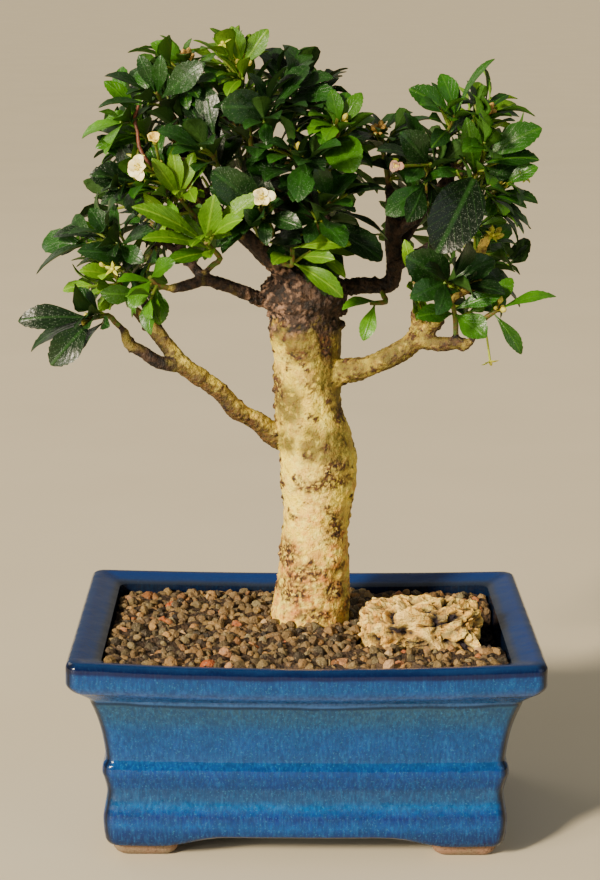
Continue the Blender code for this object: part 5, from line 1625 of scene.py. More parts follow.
@dataclass
class Crown:
    """The foliage: the leaves of the part's source, refined, and sprigs of smaller ones between them."""

    camera: Camera
    growth: Growth = field(default_factory=Growth)
    leaves: dict = field(default_factory=dict)
    sprigs: dict = field(default_factory=dict)
    front_sprigs: int = 10
    back_sprigs: int = 8
    sprig_leaves: int = 4
    # Shoots that show as a few single leaves, and how many sprigs each may have
    sparse: tuple = (
        ("hanging", 0), ("burl_leaves", 1), ("right_upright", 1), ("far_right", 0), ("far_left", 2),
        ("right_gloss", 1), ("left_under", 3), ("left_low", 5), ("right_star", 4), ("lime_hub", 3),
        ("lime_upright", 2), ("right_face", 3),
    )
    # Shoots whose leaves are younger than most of their tone
    fresh: tuple = (
        ("hanging", 0.9), ("left_under", 0.5), ("right_crown", -0.2), ("right_wing", 0.0),
        ("left_upper", 0.5), ("far_right", 0.45), ("left_low", 0.3), ("crown_left", 0.25),
        ("right_upright", 0.3), ("right_gloss", 0.1), ("left_bloom", 0.35), ("crown_right", 0.3),
        ("right_face", -0.7), ("crown_face", -0.6), ("far_left", -0.3), ("right_round", -0.5),
        ("centre_bloom", -0.4), ("left_wing", -0.2), ("right_dark", -0.5),
    )
    # How narrow the blades of each tone have stayed, and the young shoot that already darkens
    narrow: tuple = ((DARK, 1.0), (MID, 0.95), (LIME, 0.87))
    darkening: str = "crown_top"
    # How far the green stem reaches back inside its twig, in millimetres
    stem_reach: float = 3.0
    # Shoots whose buds have dried tan
    dried: tuple = ("crown_left", "right_top", "valley")
    # Spent flowers, each a star of sepals on a stalk: the shoot, the share of its stem and the star's place
    stars: tuple = (
        ("right_tail", 0.95, (92.5, -11, 292)), ("right_star", 0.9, (79, -11, 267)),
        ("far_right", 0.3, (79, -15, 213)), ("left_low", 0.6, (-84, -16, 252)),
        ("crown_top", 0.9, (-37, 0, 347)), ("left_bloom", 0.7, (-73, -22, 300)),
    )
    sepal_length: tuple = (3.6, 4.8)
    sepal_width: float = 1.5
    berry: float = 0.9
    # A bud on its stalk: the share of its length and its radius there
    bud_swell: tuple = ((0.0, 0.45), (0.45, 0.5), (0.6, 1.0), (0.75, 1.4), (0.9, 1.0), (1.0, 0.25))
    # The bare red-brown twig that stands before the left lobe
    red_twig: tuple = (
        (-63, -13, 293, 0.9), (-69, -13, 298, 0.8), (-72.5, -11, 304, 0.9), (-73.2, -10, 310, 0.7),
        (-74.5, -8, 315, 0.8), (-73, -6, 321, 0.6),
    )
    # Tries for each leaf of a sprig, the sprig's least and greatest reach, and its radius on the way
    sprig_tries: int = 5
    sprig_reach: tuple = (6, 15)
    sprig_radii: tuple = (0.8, 0.7, 0.55)
    outline_reach: float = 7.0
    # Added blades are thinner than the plain ones that they are tested as
    sprig_safe: float = -0.3
    # Gaps in the crown through which the wall behind shows: x and z in view of the camera, and half sizes
    windows: tuple = (
        (26.5, 274.5, 6.0, 5.5), (29.0, 255.0, 6.0, 6.0), (48.5, 263.0, 2.5, 6.0),
        (31.0, 330.0, 8.0, 11.0),
    )

    def place_first_clear(self, shoot: Shoot, trials: Iterable[Leaf]) -> None:
        """Keeps the first of these trials that crosses nothing. With none, the leaf is left out."""
        for leaf in trials:
            if self.growth.is_clear(shoot.name, leaf):
                self.growth.add(shoot.name, leaf.points(), LEAF_FACES)
                self.leaves[shoot.name].append(leaf)
                return

    def grow_leaves(self) -> None:
        """Grows the leaves of the part's source, in its own order."""
        growth = self.growth
        for path in (STUMP[:-1] + TRUNK,) + tuple(BRANCHES.values()):
            growth.add("wood", *tube_points(path, 10))
        for shoot in SHOOTS:
            self.leaves[shoot.name] = []
            growth.add("wood", *tube_points(twig_path(shoot)))
            growth.add(shoot.name, *tube_points(stem_path(shoot)))
            for points, faces in bud_shapes(shoot):
                growth.add(shoot.name, points, faces)
            for centre in shoot.flowers:
                path, seat, ahead = calyx_path(shoot, centre)
                growth.add(shoot.name, *tube_points(path))
                growth.add("flower", *corolla(seat, ahead))
        for shoot in SHOOTS:
            for marked in shoot.marked:
                self.place_first_clear(shoot, (marked_leaf(shoot, marked, nudge) for nudge in NUDGES))
        for index in range(max(shoot.leaves for shoot in SHOOTS)):
            for shoot in SHOOTS:
                if index < shoot.leaves:
                    trials = (ruled_leaf(shoot, index, attempt) for attempt in range(ATTEMPTS))
                    self.place_first_clear(shoot, trials)

    def outline(self) -> KDTree:
        """The crown's outline as the camera sees it, from the leaves of the part's source."""
        spots = []
        for leaf in (leaf for leaves in self.leaves.values() for leaf in leaves):
            midrib = [leaf.root + leaf.ahead * leaf.length * share for share in (0.25, 0.45, 0.8)]
            spots += [self.camera.seen(point) for point in leaf.points() + midrib]
        return point_tree(spots)

    def is_within(self, leaf: Leaf, outline: KDTree) -> bool:
        """Whether an added leaf keeps to the outline, out of the gaps and inside the CAD model's box."""
        low, high = (Vector(corner) for corner in CAD_BOX)
        for spot in leaf.points():
            place = row_point(spot)
            if not all(low[i] - MM < place[i] < high[i] + MM for i in range(3)):
                return False
            view = self.camera.seen(spot)
            in_window = any(off_centre(view, window) < 1 for window in self.windows)
            if in_window or outline.find(view)[2] > self.outline_reach:
                return False
        return True

    def sprig_leaf(self, shoot: Shoot, path: tuple, index: int, draw: random.Random) -> Leaf:
        """Tries one small leaf on a sprig, turned to face outwards from the crown."""
        share = 0.3 + 0.7 * (index + 0.5) / self.sprig_leaves
        root, along_stem, _ = along(path, min(share, 0.97))
        across = turned_across(along_stem, index * GOLDEN_ANGLE + draw.uniform(0, 6.28))
        outward = (root - CROWN_HEART).normalized()
        splay = math.radians(draw.uniform(45, 85) - 30 * share)
        ahead = (along_stem * math.cos(splay) + across * math.sin(splay) + outward * 0.2
                 - UP * draw.uniform(0.0, 0.3)).normalized()
        upper = outward * draw.uniform(0.7, 1.2) + UP * draw.uniform(0.3, 0.9) + along_stem * 0.3
        upper = squared_to(ahead, upper)
        length = shoot.length * draw.uniform(0.55, 0.95)
        return Leaf(root, ahead, upper, length, length * draw.uniform(0.42, 0.56))

    def grow_sprigs(self) -> None:
        """Grows side sprigs round after round, so that the lobes fill evenly."""
        outline = self.outline()
        for shoot in SHOOTS:
            self.sprigs[shoot.name] = []
        for number in range(self.front_sprigs):
            for shoot in SHOOTS:
                most = self.back_sprigs if "back" in shoot.name else self.front_sprigs
                if number < dict(self.sparse).get(shoot.name, most):
                    self.grow_sprig(shoot, number, outline)

    def grow_sprig(self, shoot: Shoot, number: int, outline: KDTree) -> None:
        """Grows one sprig, and keeps it if any of its leaves finds room.

        Args:
            shoot: The shoot that carries it.
            number: Its number on the shoot.
            outline: The crown's outline.
        """
        draw = random.Random(f"sprig {shoot.name} {number}")
        # Every third sprig grows from the twig under the shoot, where it fills the inside
        carrier = twig_path(shoot) if number % 3 == 2 else stem_path(shoot)
        root, ahead, _ = along(carrier, draw.uniform(0.3, 0.95))
        across = turned_across(ahead, number * GOLDEN_ANGLE + draw.uniform(-0.5, 0.5))
        outward = (root - CROWN_HEART).normalized()
        way = (across + ahead * draw.uniform(0.2, 0.9) + outward * 0.5).normalized()
        reach = draw.uniform(*self.sprig_reach)
        knots = (root, root + way * reach * 0.5 + UP * 0.4, root + way * reach)
        sprig = Sprig(tuple((*knot, radius) for knot, radius in zip(knots, self.sprig_radii)))
        owner = shoot.name + "+"
        for index in range(self.sprig_leaves):
            for _ in range(self.sprig_tries):
                leaf = self.sprig_leaf(shoot, sprig.path, index, draw)
                if self.is_within(leaf, outline) and self.growth.is_clear(owner, leaf, self.sprig_safe):
                    self.growth.add(owner, leaf.points(), LEAF_FACES)
                    sprig.leaves.append(leaf)
                    break
        if sprig.leaves:
            self.sprigs[shoot.name].append(sprig)

    def build(self) -> None:
        """Grows everything, then makes one piece of each shoot."""
        self.grow_leaves()
        LOG.info("leaves of the source: %d", sum(map(len, self.leaves.values())))
        self.grow_sprigs()
        LOG.info("added leaves: %d", sum(len(s.leaves) for group in self.sprigs.values() for s in group))
        blades = {tone: finish.build() for tone, finish in BLADES.items()}
        stem = soft_tissue("green_stem", "#4d6a1c", "#6a5226", "#7ea02a").build()
        buds = {False: soft_tissue("flower_bud", "#98982a", "#7c6a2a", "#c4bb4c").build(),
                True: soft_tissue("dried_bud", "#9c6c34", "#5a3a1c", "#c8a050").build()}
        sepal = soft_tissue("star_sepal", "#8aa024", "#6f8a1c", "#d0c840").build()
        twig = soft_tissue("red_twig_skin", "#74402a", "#4a2818", "#b08050").build()
        for shoot in SHOOTS:
            self.build_shoot(shoot, [blades[shoot.tone], stem, buds[shoot.name in self.dried], sepal, twig])

    def build_shoot(self, shoot: Shoot, materials: list[bpy.types.Material]) -> None:
        """Makes one shoot's piece: stem, leaves, sprigs, buds and calyces."""
        draw = random.Random(f"look {shoot.name}")
        fresh = dict(self.fresh).get(shoot.name, 0.0)
        bundle = Bundle()
        stem = stem_path(shoot)
        butt = Vector(stem[0][:3])
        behind = butt - (Vector(stem[1][:3]) - butt).normalized() * self.stem_reach
        bundle.add(*tube(smooth_path(((*behind, stem[0][3]),) + stem, 2.5), 8), look=1)
        for leaf in self.leaves[shoot.name]:
            self.add_leaf(bundle, leaf, shoot, draw, fresh, fine=leaf.marked)
        for sprig in self.sprigs[shoot.name]:
            bundle.add(*tube(smooth_path(sprig.path, 3.0), 5), look=1, young=0.4)
            for leaf in sprig.leaves:
                self.add_leaf(bundle, leaf, shoot, draw, fresh, fine=False)
        for points, _ in bud_shapes(shoot):
            self.add_bud(bundle, points[0], points[-1])
            # A smaller bud beside each one
            side = Vector((draw.uniform(-1, 1), draw.uniform(-1, 0.4), draw.uniform(0, 1))).normalized()
            self.add_bud(bundle, points[0], points[0] + side * draw.uniform(3.5, 5.5), 0.75)
        for owner, share, place in self.stars:
            if owner == shoot.name:
                self.add_star(bundle, along(stem_path(shoot), share)[0], Vector(place), draw)
        if shoot.name == "left_bloom":
            bundle.add(*tube(smooth_path(self.red_twig, 2.5), 8), look=4)
        for centre in shoot.flowers:
            bundle.add(*tube(smooth_path(calyx_path(shoot, centre)[0], 1.2), 8), look=1, young=0.25)
        piece = bundle.piece("foliage_" + shoot.name)
        dress(piece, materials, ["shoot_" + shoot.name], 50)

    def add_leaf(self, bundle: Bundle, leaf: Leaf, shoot: Shoot, draw: random.Random, fresh: float,
                 fine: bool) -> None:
        """Adds one leaf's blade with its own shade and age.

        Args:
            bundle: The shoot's shapes.
            leaf: The leaf.
            shoot: The shoot that it grows on.
            draw: The shoot's own random numbers.
            fresh: How young the shoot's leaves are on average.
            fine: Whether the blade is one of the large ones that show in the photograph.
        """
        blade = Blade(leaf, draw.uniform(-1, 1), draw.uniform(-1, 1), narrow=dict(self.narrow)[shoot.tone])
        outline = PLAIN_OUTLINE if not fine else BROAD_OUTLINE if leaf.width >= BROAD_LEAF else FINE_OUTLINE
        points, faces, under, places = blade.mesh(outline, 3 if fine else 2)
        young = clamped(draw.gauss(fresh, 0.15 if fine else 0.3))
        shade = draw.random()
        if shoot.name == self.darkening:
            shade, young = 0.4 * shade, 0.5 * young
        bundle.add(points, faces, 0, shade, young, under, places)

    def add_bud(self, bundle: Bundle, root: Vector, tip: Vector, girth: float = 1.0) -> None:
        """Adds one flower bud on its stalk."""
        path = [(*(root + (tip - root) * share), radius * girth) for share, radius in self.bud_swell]
        points, faces = tube(path, 6)
        bundle.add(points, faces, 2, 0.5, [0.0 if i < 12 else 0.9 for i in range(len(points))])

    def add_star(self, bundle: Bundle, root: Vector, place: Vector, draw: random.Random) -> None:
        """Adds what a fallen flower leaves: a thin stalk, five narrow sepals and the young berry.

        Args:
            bundle: The shoot's shapes.
            root: Where the stalk grows from the stem.
            place: Where the star stands.
            draw: The shoot's own random numbers.
        """
        ahead = (place - root).normalized()
        bend = root.lerp(place, 0.5) + UP * 1.2
        stalk = smooth_path(((*root, 0.5), (*bend, 0.45), (*place, 0.5)), 2.0)
        bundle.add(*tube(stalk, 6), look=3, young=0.2)
        facing = (ahead + Vector((0, -0.6, 0.2))).normalized()
        across = facing.orthogonal().normalized()
        for index in range(5):
            way = Matrix.Rotation(index * math.tau / 5 + draw.uniform(-0.2, 0.2), 3, facing) @ across
            pointed = (way + facing * draw.uniform(0.1, 0.5)).normalized()
            upper = squared_to(pointed, facing)
            sepal = Leaf(place, pointed, upper, draw.uniform(*self.sepal_length), self.sepal_width)
            points, faces, _, places = Blade(sepal, -0.5, 0.0, 0.5, 0.1).mesh(SEPAL_OUTLINE, 1)
            bundle.add(points, faces, 3, 0.5, draw.uniform(0.2, 0.8), 0.0, places)
        bundle.add(*ball(place + facing * self.berry, (self.berry,) * 3, 2), look=3, young=0.9)


# Share of the leaf's length, and of its half width. The steps near the tip are its blunt teeth.
FINE_OUTLINE = (
    (0.04, 0.09), (0.12, 0.13), (0.22, 0.29), (0.34, 0.55), (0.46, 0.80), (0.57, 0.96), (0.64, 1.0),
    (0.70, 0.93), (0.735, 0.955), (0.79, 0.79), (0.82, 0.81), (0.87, 0.59), (0.90, 0.61), (0.945, 0.36),
    (0.975, 0.22),
)
BROAD_OUTLINE = (
    (0.04, 0.16), (0.10, 0.34), (0.18, 0.58), (0.28, 0.80), (0.40, 0.94), (0.52, 1.0), (0.64, 1.0),
    (0.74, 0.93), (0.78, 0.94), (0.84, 0.77), (0.875, 0.78), (0.925, 0.54), (0.955, 0.48),
    (0.985, 0.24),
)
PLAIN_OUTLINE = (
    (0.05, 0.10), (0.2, 0.28), (0.4, 0.72), (0.60, 1.0), (0.76, 0.88), (0.80, 0.88), (0.88, 0.58),
    (0.95, 0.36),
)
SEPAL_OUTLINE = ((0.15, 0.5), (0.4, 1.0), (0.75, 0.6))
# Leaves at least this wide are broad
BROAD_LEAF = 14.5


@dataclass
class Blade:
    """The finished form of one leaf: a lens-thin blade with a creased midrib, teeth and a slight wave."""

    leaf: Leaf
    curl: float
    twist: float
    thickness: float = 0.62
    wave: float = 0.35
    narrow: float = 1.0

    def height(self, u: float) -> float:
        """How far the midrib stands over the straight line from root to tip, in millimetres."""
        length = self.leaf.length
        arch = LEAF_ARCH * length * (1 + 0.25 * self.curl)
        rise = math.sin(math.pi * min(u / 1.12, 1.0)) * arch * 1.05
        return rise - LEAF_DROOP * length * u ** 4 - 0.04 * length * u ** 6

    def mesh(self, outline: Sequence[Point],
             columns: int) -> tuple[list[Vector], list[Face], list[float], list]:
        """Makes the blade.

        Args:
            outline: Share of the length and of the half width at each station.
            columns: Faces from the midrib to the margin.

        Returns:
            Points, faces, which points are underneath, and U and V of each point.
        """
        leaf = self.leaf
        side = leaf.upper.cross(leaf.ahead)
        half = leaf.width / 2 * self.narrow
        points: list[Vector] = []
        under: list[float] = []
        places: list[tuple[float, float]] = []

        def put(u: float, v: float, lift: float, below: float) -> None:
            """Adds the point at u along and v across, from -1 to 1, lifted off the middle surface."""
            share = outline_at(outline, u)
            across = v * half * share
            raised = (LEAF_FOLD + 0.2 * abs(self.curl)) * half * share * abs(v) ** 1.4
            ripple = self.wave * abs(v) * share * math.sin(9 * u + 3 * self.curl + (2 if v > 0 else 0))
            bend = 0.05 * leaf.length * self.twist * u * u
            spot = leaf.root + leaf.ahead * (u * leaf.length) + side * (across + bend * 0.4)
            points.append(spot + leaf.upper * (self.height(u) + raised + ripple + lift))
            under.append(below)
            places.append((u, 0.5 + 0.5 * v * share))

        inner = [i / columns for i in range(-columns + 1, columns)]
        thick = self.thickness / 2
        for u, share in outline:
            put(u, -1, 0, 0.5)
            for v in inner:
                put(u, v, thick * (1 - v * v), 0.0)
            put(u, 1, 0, 0.5)
            for v in reversed(inner):
                put(u, v, -thick * (1 - v * v), 1.0)
        count = 4 * columns
        faces = ring_faces(len(outline), count)
        root, tip = len(points), len(points) + 1
        put(0.0, 0, 0, 0.5)
        put(1.0, 0, 0, 0.5)
        last = (len(outline) - 1) * count
        for i in range(count):
            j = (i + 1) % count
            faces += [(root, j, i), (tip, last + i, last + j)]
        return points, faces, under, places


def outline_at(outline: Sequence[Point], u: float) -> float:
    """The share of the half width at u. It is straight between stations, and 0 at both ends."""
    stations = ((0.0, 0.0), *outline, (1.0, 0.0))
    for (low, first), (high, second) in zip(stations, stations[1:]):
        if low <= u <= high:
            return first + (second - first) * (u - low) / (high - low)
    return 0.0


@dataclass(frozen=True)
class Bloom:
    """How far one flower has opened: its size, each petal's length and spread, and its finish."""

    size: float
    petals: tuple
    look: str = "white_petal"


BLOOMS = {
    "left_bloom_1": Bloom(1.08, ((1.0, 1.0), (1.2, 1.3), (0.85, 0.7), (1.1, 1.1), (0.95, 0.6))),
    "left_bloom_2": Bloom(
        0.80, ((1.0, 0.35), (0.9, 0.45), (1.1, 0.30), (0.9, 0.6), (1.0, 0.4)), "cream_petal"),
    "centre_bloom_1": Bloom(0.95, ((1.0, 1.0), (1.0, 0.8), (1.3, 1.6), (0.9, 0.9), (1.0, 0.8))),
    "right_dark_1": Bloom(
        0.72, ((1.0, 0.9), (0.8, 0.5), (1.2, 1.2), (0.9, 0.4), (0.9, 0.8)), "faded_petal"),
}


@dataclass
class Blossoms:
    """The white flowers: five cupped, uneven petals round a short yellow-green tube, with pale anthers."""

    petal_length: float = 4.9
    petal_width: float = 4.6
    # How far along the tube, and its radius there
    throat: tuple = ((0.0, 0.9), (1.4, 1.2), (2.1, 1.5))
    # A stamen's foot and tip: how far along the flower, how far out, and its radius
    stamen: tuple = ((2.0, 0.6, 0.22), (3.8, 1.3, 0.18))
    anther: float = 0.4
    outline: tuple = ((0.06, 0.40), (0.25, 0.72), (0.5, 1.0), (0.75, 0.96), (0.9, 0.66), (0.97, 0.35))

    def build(self) -> None:
        """Builds every flower on its calyx."""
        anther = soft_tissue("pale_anther", "#d8c24c", "#b8a430", "#c6c83c").build()
        petals = {name: soft_tissue(name, *colours, Coat(0.55, 1.4)).build() for name, *colours in (
            ("white_petal", "#f8efbc", "#ecdc94", "#d0cc4c"),
            ("cream_petal", "#ecd870", "#dcb858", "#b8b434"),
            ("faded_petal", "#a07a68", "#80604f", "#9a8040"))}
        for shoot in SHOOTS:
            for number, centre in enumerate(shoot.flowers, start=1):
                _, seat, ahead = calyx_path(shoot, centre)
                facing = (ahead + Vector((0, -0.5, 0.1))).normalized()
                name = f"{shoot.name}_{number}"
                bloom = BLOOMS[name]
                bundle = self.flower(seat, facing, bloom, random.Random(name))
                materials = [petals[bloom.look], anther]
                dress(bundle.piece("blossom_" + name), materials, ["flower_" + name], 60)

    def flower(self, seat: Vector, facing: Vector, bloom: Bloom, draw: random.Random) -> Bundle:
        """Makes one flower.

        Args:
            seat: The foot of its tube.
            facing: The way it opens.
            bloom: How far it has opened.
            draw: Its own random numbers.

        Returns:
            Its shapes.
        """
        bundle = Bundle()
        throat = [(*(seat + facing * far), radius) for far, radius in self.throat]
        bundle.add(*tube(throat, 10), young=1.0)
        bundle.add(*ball(seat + facing * 2.1, (1.0, 1.0, 1.0), 2), look=1)
        across = facing.orthogonal().normalized()
        for index, (longer, spread) in enumerate(bloom.petals):
            way = Matrix.Rotation(index * math.tau / 5 + draw.uniform(-0.15, 0.15), 3, facing) @ across
            ahead = (way * spread + facing * 0.4).normalized()
            upper = squared_to(ahead, facing)
            leaf = Leaf(seat + facing * 1.6, ahead, upper, self.petal_length * bloom.size * longer,
                        self.petal_width * bloom.size * draw.uniform(0.85, 1.15))
            blade = Blade(leaf, draw.uniform(-2.5, -0.5), draw.uniform(-1, 1), 0.5, 0.45)
            points, faces, _, places = blade.mesh(self.outline, 3)
            bundle.add(points, faces, 0, 0.5, [max(0.0, 1.0 - 2.6 * u) for u, _ in places])
            (low, near, thick), (high, far, thin) = self.stamen
            stalk = seat + facing * low + way * near
            tip = seat + facing * high * bloom.size + way * far
            bundle.add(*tube([(*stalk, thick), (*tip, thin)], 5), young=0.6)
            bundle.add(*ball(tip, (self.anther,) * 3, 1), look=1)
        return bundle


@dataclass
class Wood:
    """The trunk with its burl, branches, twigs, knobs and scars, skinned over as one piece."""

    voxel: float = 0.8
    knobs_on_trunk: int = 130
    knobs_on_branches: int = 170
    nodules: int = 105
    # Y of the plane through the trunk's middle
    middle: float = 15.0
    # Heights: the burl's lower edge, the painted shade under it, the low branches' end and the rosy foot's
    burl_edge: float = 219.0
    shaded_from: float = 204.0
    low_branches: float = 262.0
    rosy_to: float = 150.0
    # Where a colour lies on the side that faces the camera: x, z and half sizes in millimetres
    olive_spots: tuple = (
        (-8, 189, 6, 9), (9, 203, 8, 9), (-3, 221, 14, 6), (12, 170, 7, 9), (2, 172, 5, 8),
        (12, 212, 8, 8), (0, 217, 9, 6), (-9, 172, 4, 5), (15, 190, 4, 9),
    )
    scar_spots: tuple = (
        (11, 155, 9, 3.8), (2, 153, 7, 2.6), (2, 112, 10, 5), (-6, 104, 7, 6), (13, 162, 6, 3),
        (13, 133, 4, 8), (-8, 120, 5, 7), (4, 94, 9, 3), (13, 104, 5, 5), (15, 184, 3, 5),
        (-4, 212, 5, 2.5), (-13, 196, 2.5, 8),
    )
    # Scabs that stand out along both sides of the trunk: x, z and size
    scabs: tuple = (
        (-14.2, 200, 1.4), (-14.2, 194, 1.2), (-14.0, 187, 1.4), (-13.6, 182, 1.3), (-11.2, 162, 1.3),
        (-10.8, 156, 1.4), (-10.6, 150, 1.3), (-10.2, 145, 1.2), (20.0, 148, 1.3), (18.6, 141, 1.4),
        (18.2, 134, 1.3), (18.6, 118, 1.4), (-11.6, 118, 1.2), (-12.6, 104, 1.3), (-14.6, 212, 1.4),
        (-15.2, 222, 2.4), (-15.8, 228, 2.2), (14.8, 224, 2.6), (14.4, 217, 1.5), (15.8, 230, 2.4),
    )
    # Dead tan stubs between the leaves of the right lobe, from the side that faces the camera
    stubs: tuple = (
        ((71, -7, 252, 2.0), (74, -9, 258, 2.6), (75, -9, 262, 2.2), (77.5, -8, 267, 1.8)),
        ((63, -14, 240, 1.6), (67, -16, 244, 2.3), (70, -16, 245, 2.0), (75, -15, 248, 1.5)),
    )
    # The cleft beside the right branch, sunk and darkened with painted shade, and the pale strip of live
    # bark beyond it
    cleft: tuple = (8.5, 217, 3.6, 8.5)
    strip: tuple = (14.0, 216, 2.6, 11.0)

    def paths(self) -> list[tuple[Sequence[Point], float, int]]:
        """Every path of wood, with how young its bark is, over 1 as painted shade, and its number of sides.
        """
        found: list[tuple[Sequence[Point], float, int]] = [(STUMP[:-1] + TRUNK, 0.0, 40)]
        found += [(path, BRANCH_YOUTH_AND_SHADE.get(name, YOUNG_BRANCH), 16) for name, path in BRANCHES.items()]
        found += [(twig_path(shoot), 1.0, 10) for shoot in SHOOTS]
        found += [(((*nearest_on_wood(Vector(stub[0][:3])), 1.4),) + stub, 0.0, 12) for stub in self.stubs]
        return found

    def knurled(self, path: Sequence[Point], step: float) -> list[Vector]:
        """The path rounded off, with a radius that swells and narrows a little."""
        points = smooth_path(path, step)
        for point in points:
            share = 0.10 if point.w < 7 else 0.02
            point.w *= 1 + share * rumble(point.xyz, (0.21, 1.0), (0.55, 0.7))
        return points

    def knob_spots(self) -> list[tuple[Vector, Vector, float]]:
        """Where knobs and cut stubs stand: the spot, the way out and the size."""
        draw = random.Random(5)
        spots = []
        for index in range(self.knobs_on_trunk):
            share = 0.08 + 0.84 * (index + draw.random()) / self.knobs_on_trunk
            spot, _, radius = along(TRUNK, share)
            turn = index * GOLDEN_ANGLE + draw.uniform(-0.5, 0.5)
            out = Vector((math.cos(turn), math.sin(turn), draw.uniform(-0.2, 0.3))).normalized()
            spots.append((spot + out * radius * 0.99, out, draw.uniform(0.5, 1.0) + draw.random() ** 3))
        for x, z, size in self.scabs:
            out = Vector((math.copysign(1.0, x - 2), -0.35, 0.0)).normalized()
            spots.append((Vector((x, 13.0, z)), out, size))
        thick = [path for name, path in BRANCHES.items() if BRANCH_YOUTH_AND_SHADE.get(name, 1.0) <= YOUNG_BRANCH]
        for index in range(self.knobs_on_branches):
            path = thick[index % len(thick)]
            spot, ahead, radius = along(path, draw.uniform(0.22, 0.98))
            out = turned_across(ahead, draw.uniform(0, math.tau))
            size = draw.uniform(0.5, 1.0) + 0.8 * draw.random() ** 2
            spots.append((spot + out * radius * 0.96, out, size))
        return spots

    def rough_form(self) -> bpy.types.Object:
        """All the wood as overlapping closed shells."""
        bundle = Bundle()
        for path, _, sides in self.paths():
            bundle.add(*tube(self.knurled(path, 1.6 if sides > 20 else 2.5), sides))
        bundle.add(*ball(BURL_CENTRE, BURL_HALF, 4))
        draw = random.Random(12)
        for index in range(self.nodules):
            height = 1 - 2 * (index + 0.5) / self.nodules
            turn = index * GOLDEN_ANGLE + draw.uniform(-0.2, 0.2)
            flat = math.sqrt(1 - height * height)
            unit = Vector((flat * math.cos(turn), flat * math.sin(turn), height))
            spot = Vector([BURL_CENTRE[i] + unit[i] * BURL_HALF[i] * 0.92 for i in range(3)])
            size = draw.uniform(1.2, 3.0)
            bundle.add(*ball(spot, (size, size * 0.9, size * draw.uniform(0.7, 1.1)), 2))
        for spot, out, size in self.knob_spots():
            turn = out.to_track_quat("Z", "Y").to_matrix()
            bundle.add(*ball(spot, (size * 1.25, size * 0.8, size), 2, turn))
            if size > 1.5 and spot.z > 240:
                stub = ((*(spot - out), size * 0.8), (*(spot + out * size * 1.2), size * 0.55))
                bundle.add(*tube(stub, 8))
        return bundle.piece("trunk_and_branches")

    def nearest(self, spots: np.ndarray) -> tuple[np.ndarray, np.ndarray]:
        """Reads the wood nearest to each spot.

        Args:
            spots: Points in millimetres, one a row.

        Returns:
            How young the nearest wood is, over 1 as painted shade, and its radius.
        """
        best = np.full(len(spots), 1e9)
        youth, radii = np.zeros(len(spots)), np.zeros(len(spots))
        for path, young, _ in self.paths():
            for start, end in zip(path, path[1:]):
                a, b = np.array(start, float), np.array(end, float)
                line = b[:3] - a[:3]
                share = np.clip(((spots - a[:3]) @ line) / (line @ line), 0, 1)
                radius = a[3] + (b[3] - a[3]) * share
                gap = np.linalg.norm(spots - a[:3] - share[:, None] * line, axis=1) - radius
                closer = gap < best
                best[closer], youth[closer], radii[closer] = gap[closer], young, radius[closer]
        return youth, radii

    def bark(self, spot: Vector, normal: Point, young: float, radius: float,
             knob: tuple[int, float, float]) -> tuple[float, tuple[float, ...]]:
        """Shapes and colours the bark at one spot of the skin.

        Args:
            spot: The spot, in millimetres from the pot's middle.
            normal: The way out of the skin.
            young: How young the nearest wood is, over 1 as painted shade.
            radius: Its radius.
            knob: The nearest knob's number, its size and how far off it is.

        Returns:
            How far the skin is lifted, and how rosy, olive, scarred, young and burred it is. Olive and scar
            also carry painted shade, and rosy a painted highlight on the burl.
        """
        burl = math.sqrt(sum(((spot[k] - BURL_CENTRE[k]) / BURL_HALF[k]) ** 2 for k in range(3)))
        edge = self.burl_edge + rumble(spot, (0.13, 8.0), (0.4, 6.0), (1.1, 4.0))
        burred = clamped((1.65 - burl) * 4) * clamped((spot.z - edge) / 4.5)
        trunk = clamped((radius - 6) / 5)
        in_front = spot.y < self.middle
        wave = rumble(spot, (0.09, 1.0), (0.24, 0.6))
        rough = rumble(spot, (0.62, 1.0), (1.3, 0.6))
        lift = trunk * (0.75 * wave + 0.42 * rough) + (1 - trunk) * min(0.5, radius * 0.1) * rough
        lift += burred * (1.8 * abs(noise.noise(spot * 0.5)) - 0.5)
        number, size, distance = knob
        distance += 1.6 * noise.noise(spot * 0.9)
        scar = clamped((1.25 * size + 0.7 - distance) / 0.8)
        # One in three of the trunk's knobs has healed pale
        if number < self.knobs_on_trunk and number % 3 == 1:
            scar *= 0.2
        blotch = noise.noise(spot * 0.15 + Vector((4, 9, 2))) + rumble(spot, (0.45, 0.6), (1.1, 0.5))
        scar = max(scar, 0.8 * clamped((blotch - 0.48 + 0.006 * spot.x) * 4))
        if in_front and trunk > 0.4:
            ragged = 1.5 * max(0.0, 0.8 + 1.3 * rough)
            for patch in self.scar_spots:
                scar = max(scar, min(1.0, math.exp(-off_centre(spot, patch)) * ragged))
        olive = max(min(1.0, 1.8 * math.exp(-off_centre(spot, patch))) for patch in self.olive_spots)
        olive *= 1.0 if in_front else 0.7
        # Painted shade: the cleft is sunk and darkened; the pale strip beyond it is live bark
        if in_front and trunk > 0.3:
            lean = Vector((0.15 * (spot.z - self.cleft[1]), 0, 0))
            deep = math.exp(-off_centre(spot + lean, self.cleft, 4))
            lift -= 1.2 * deep
            scar = max(scar, 1.2 * deep)
            pale = math.exp(-off_centre(spot, self.strip, 4))
            scar, olive = scar * (1 - 0.8 * pale), olive * (1 - pale)
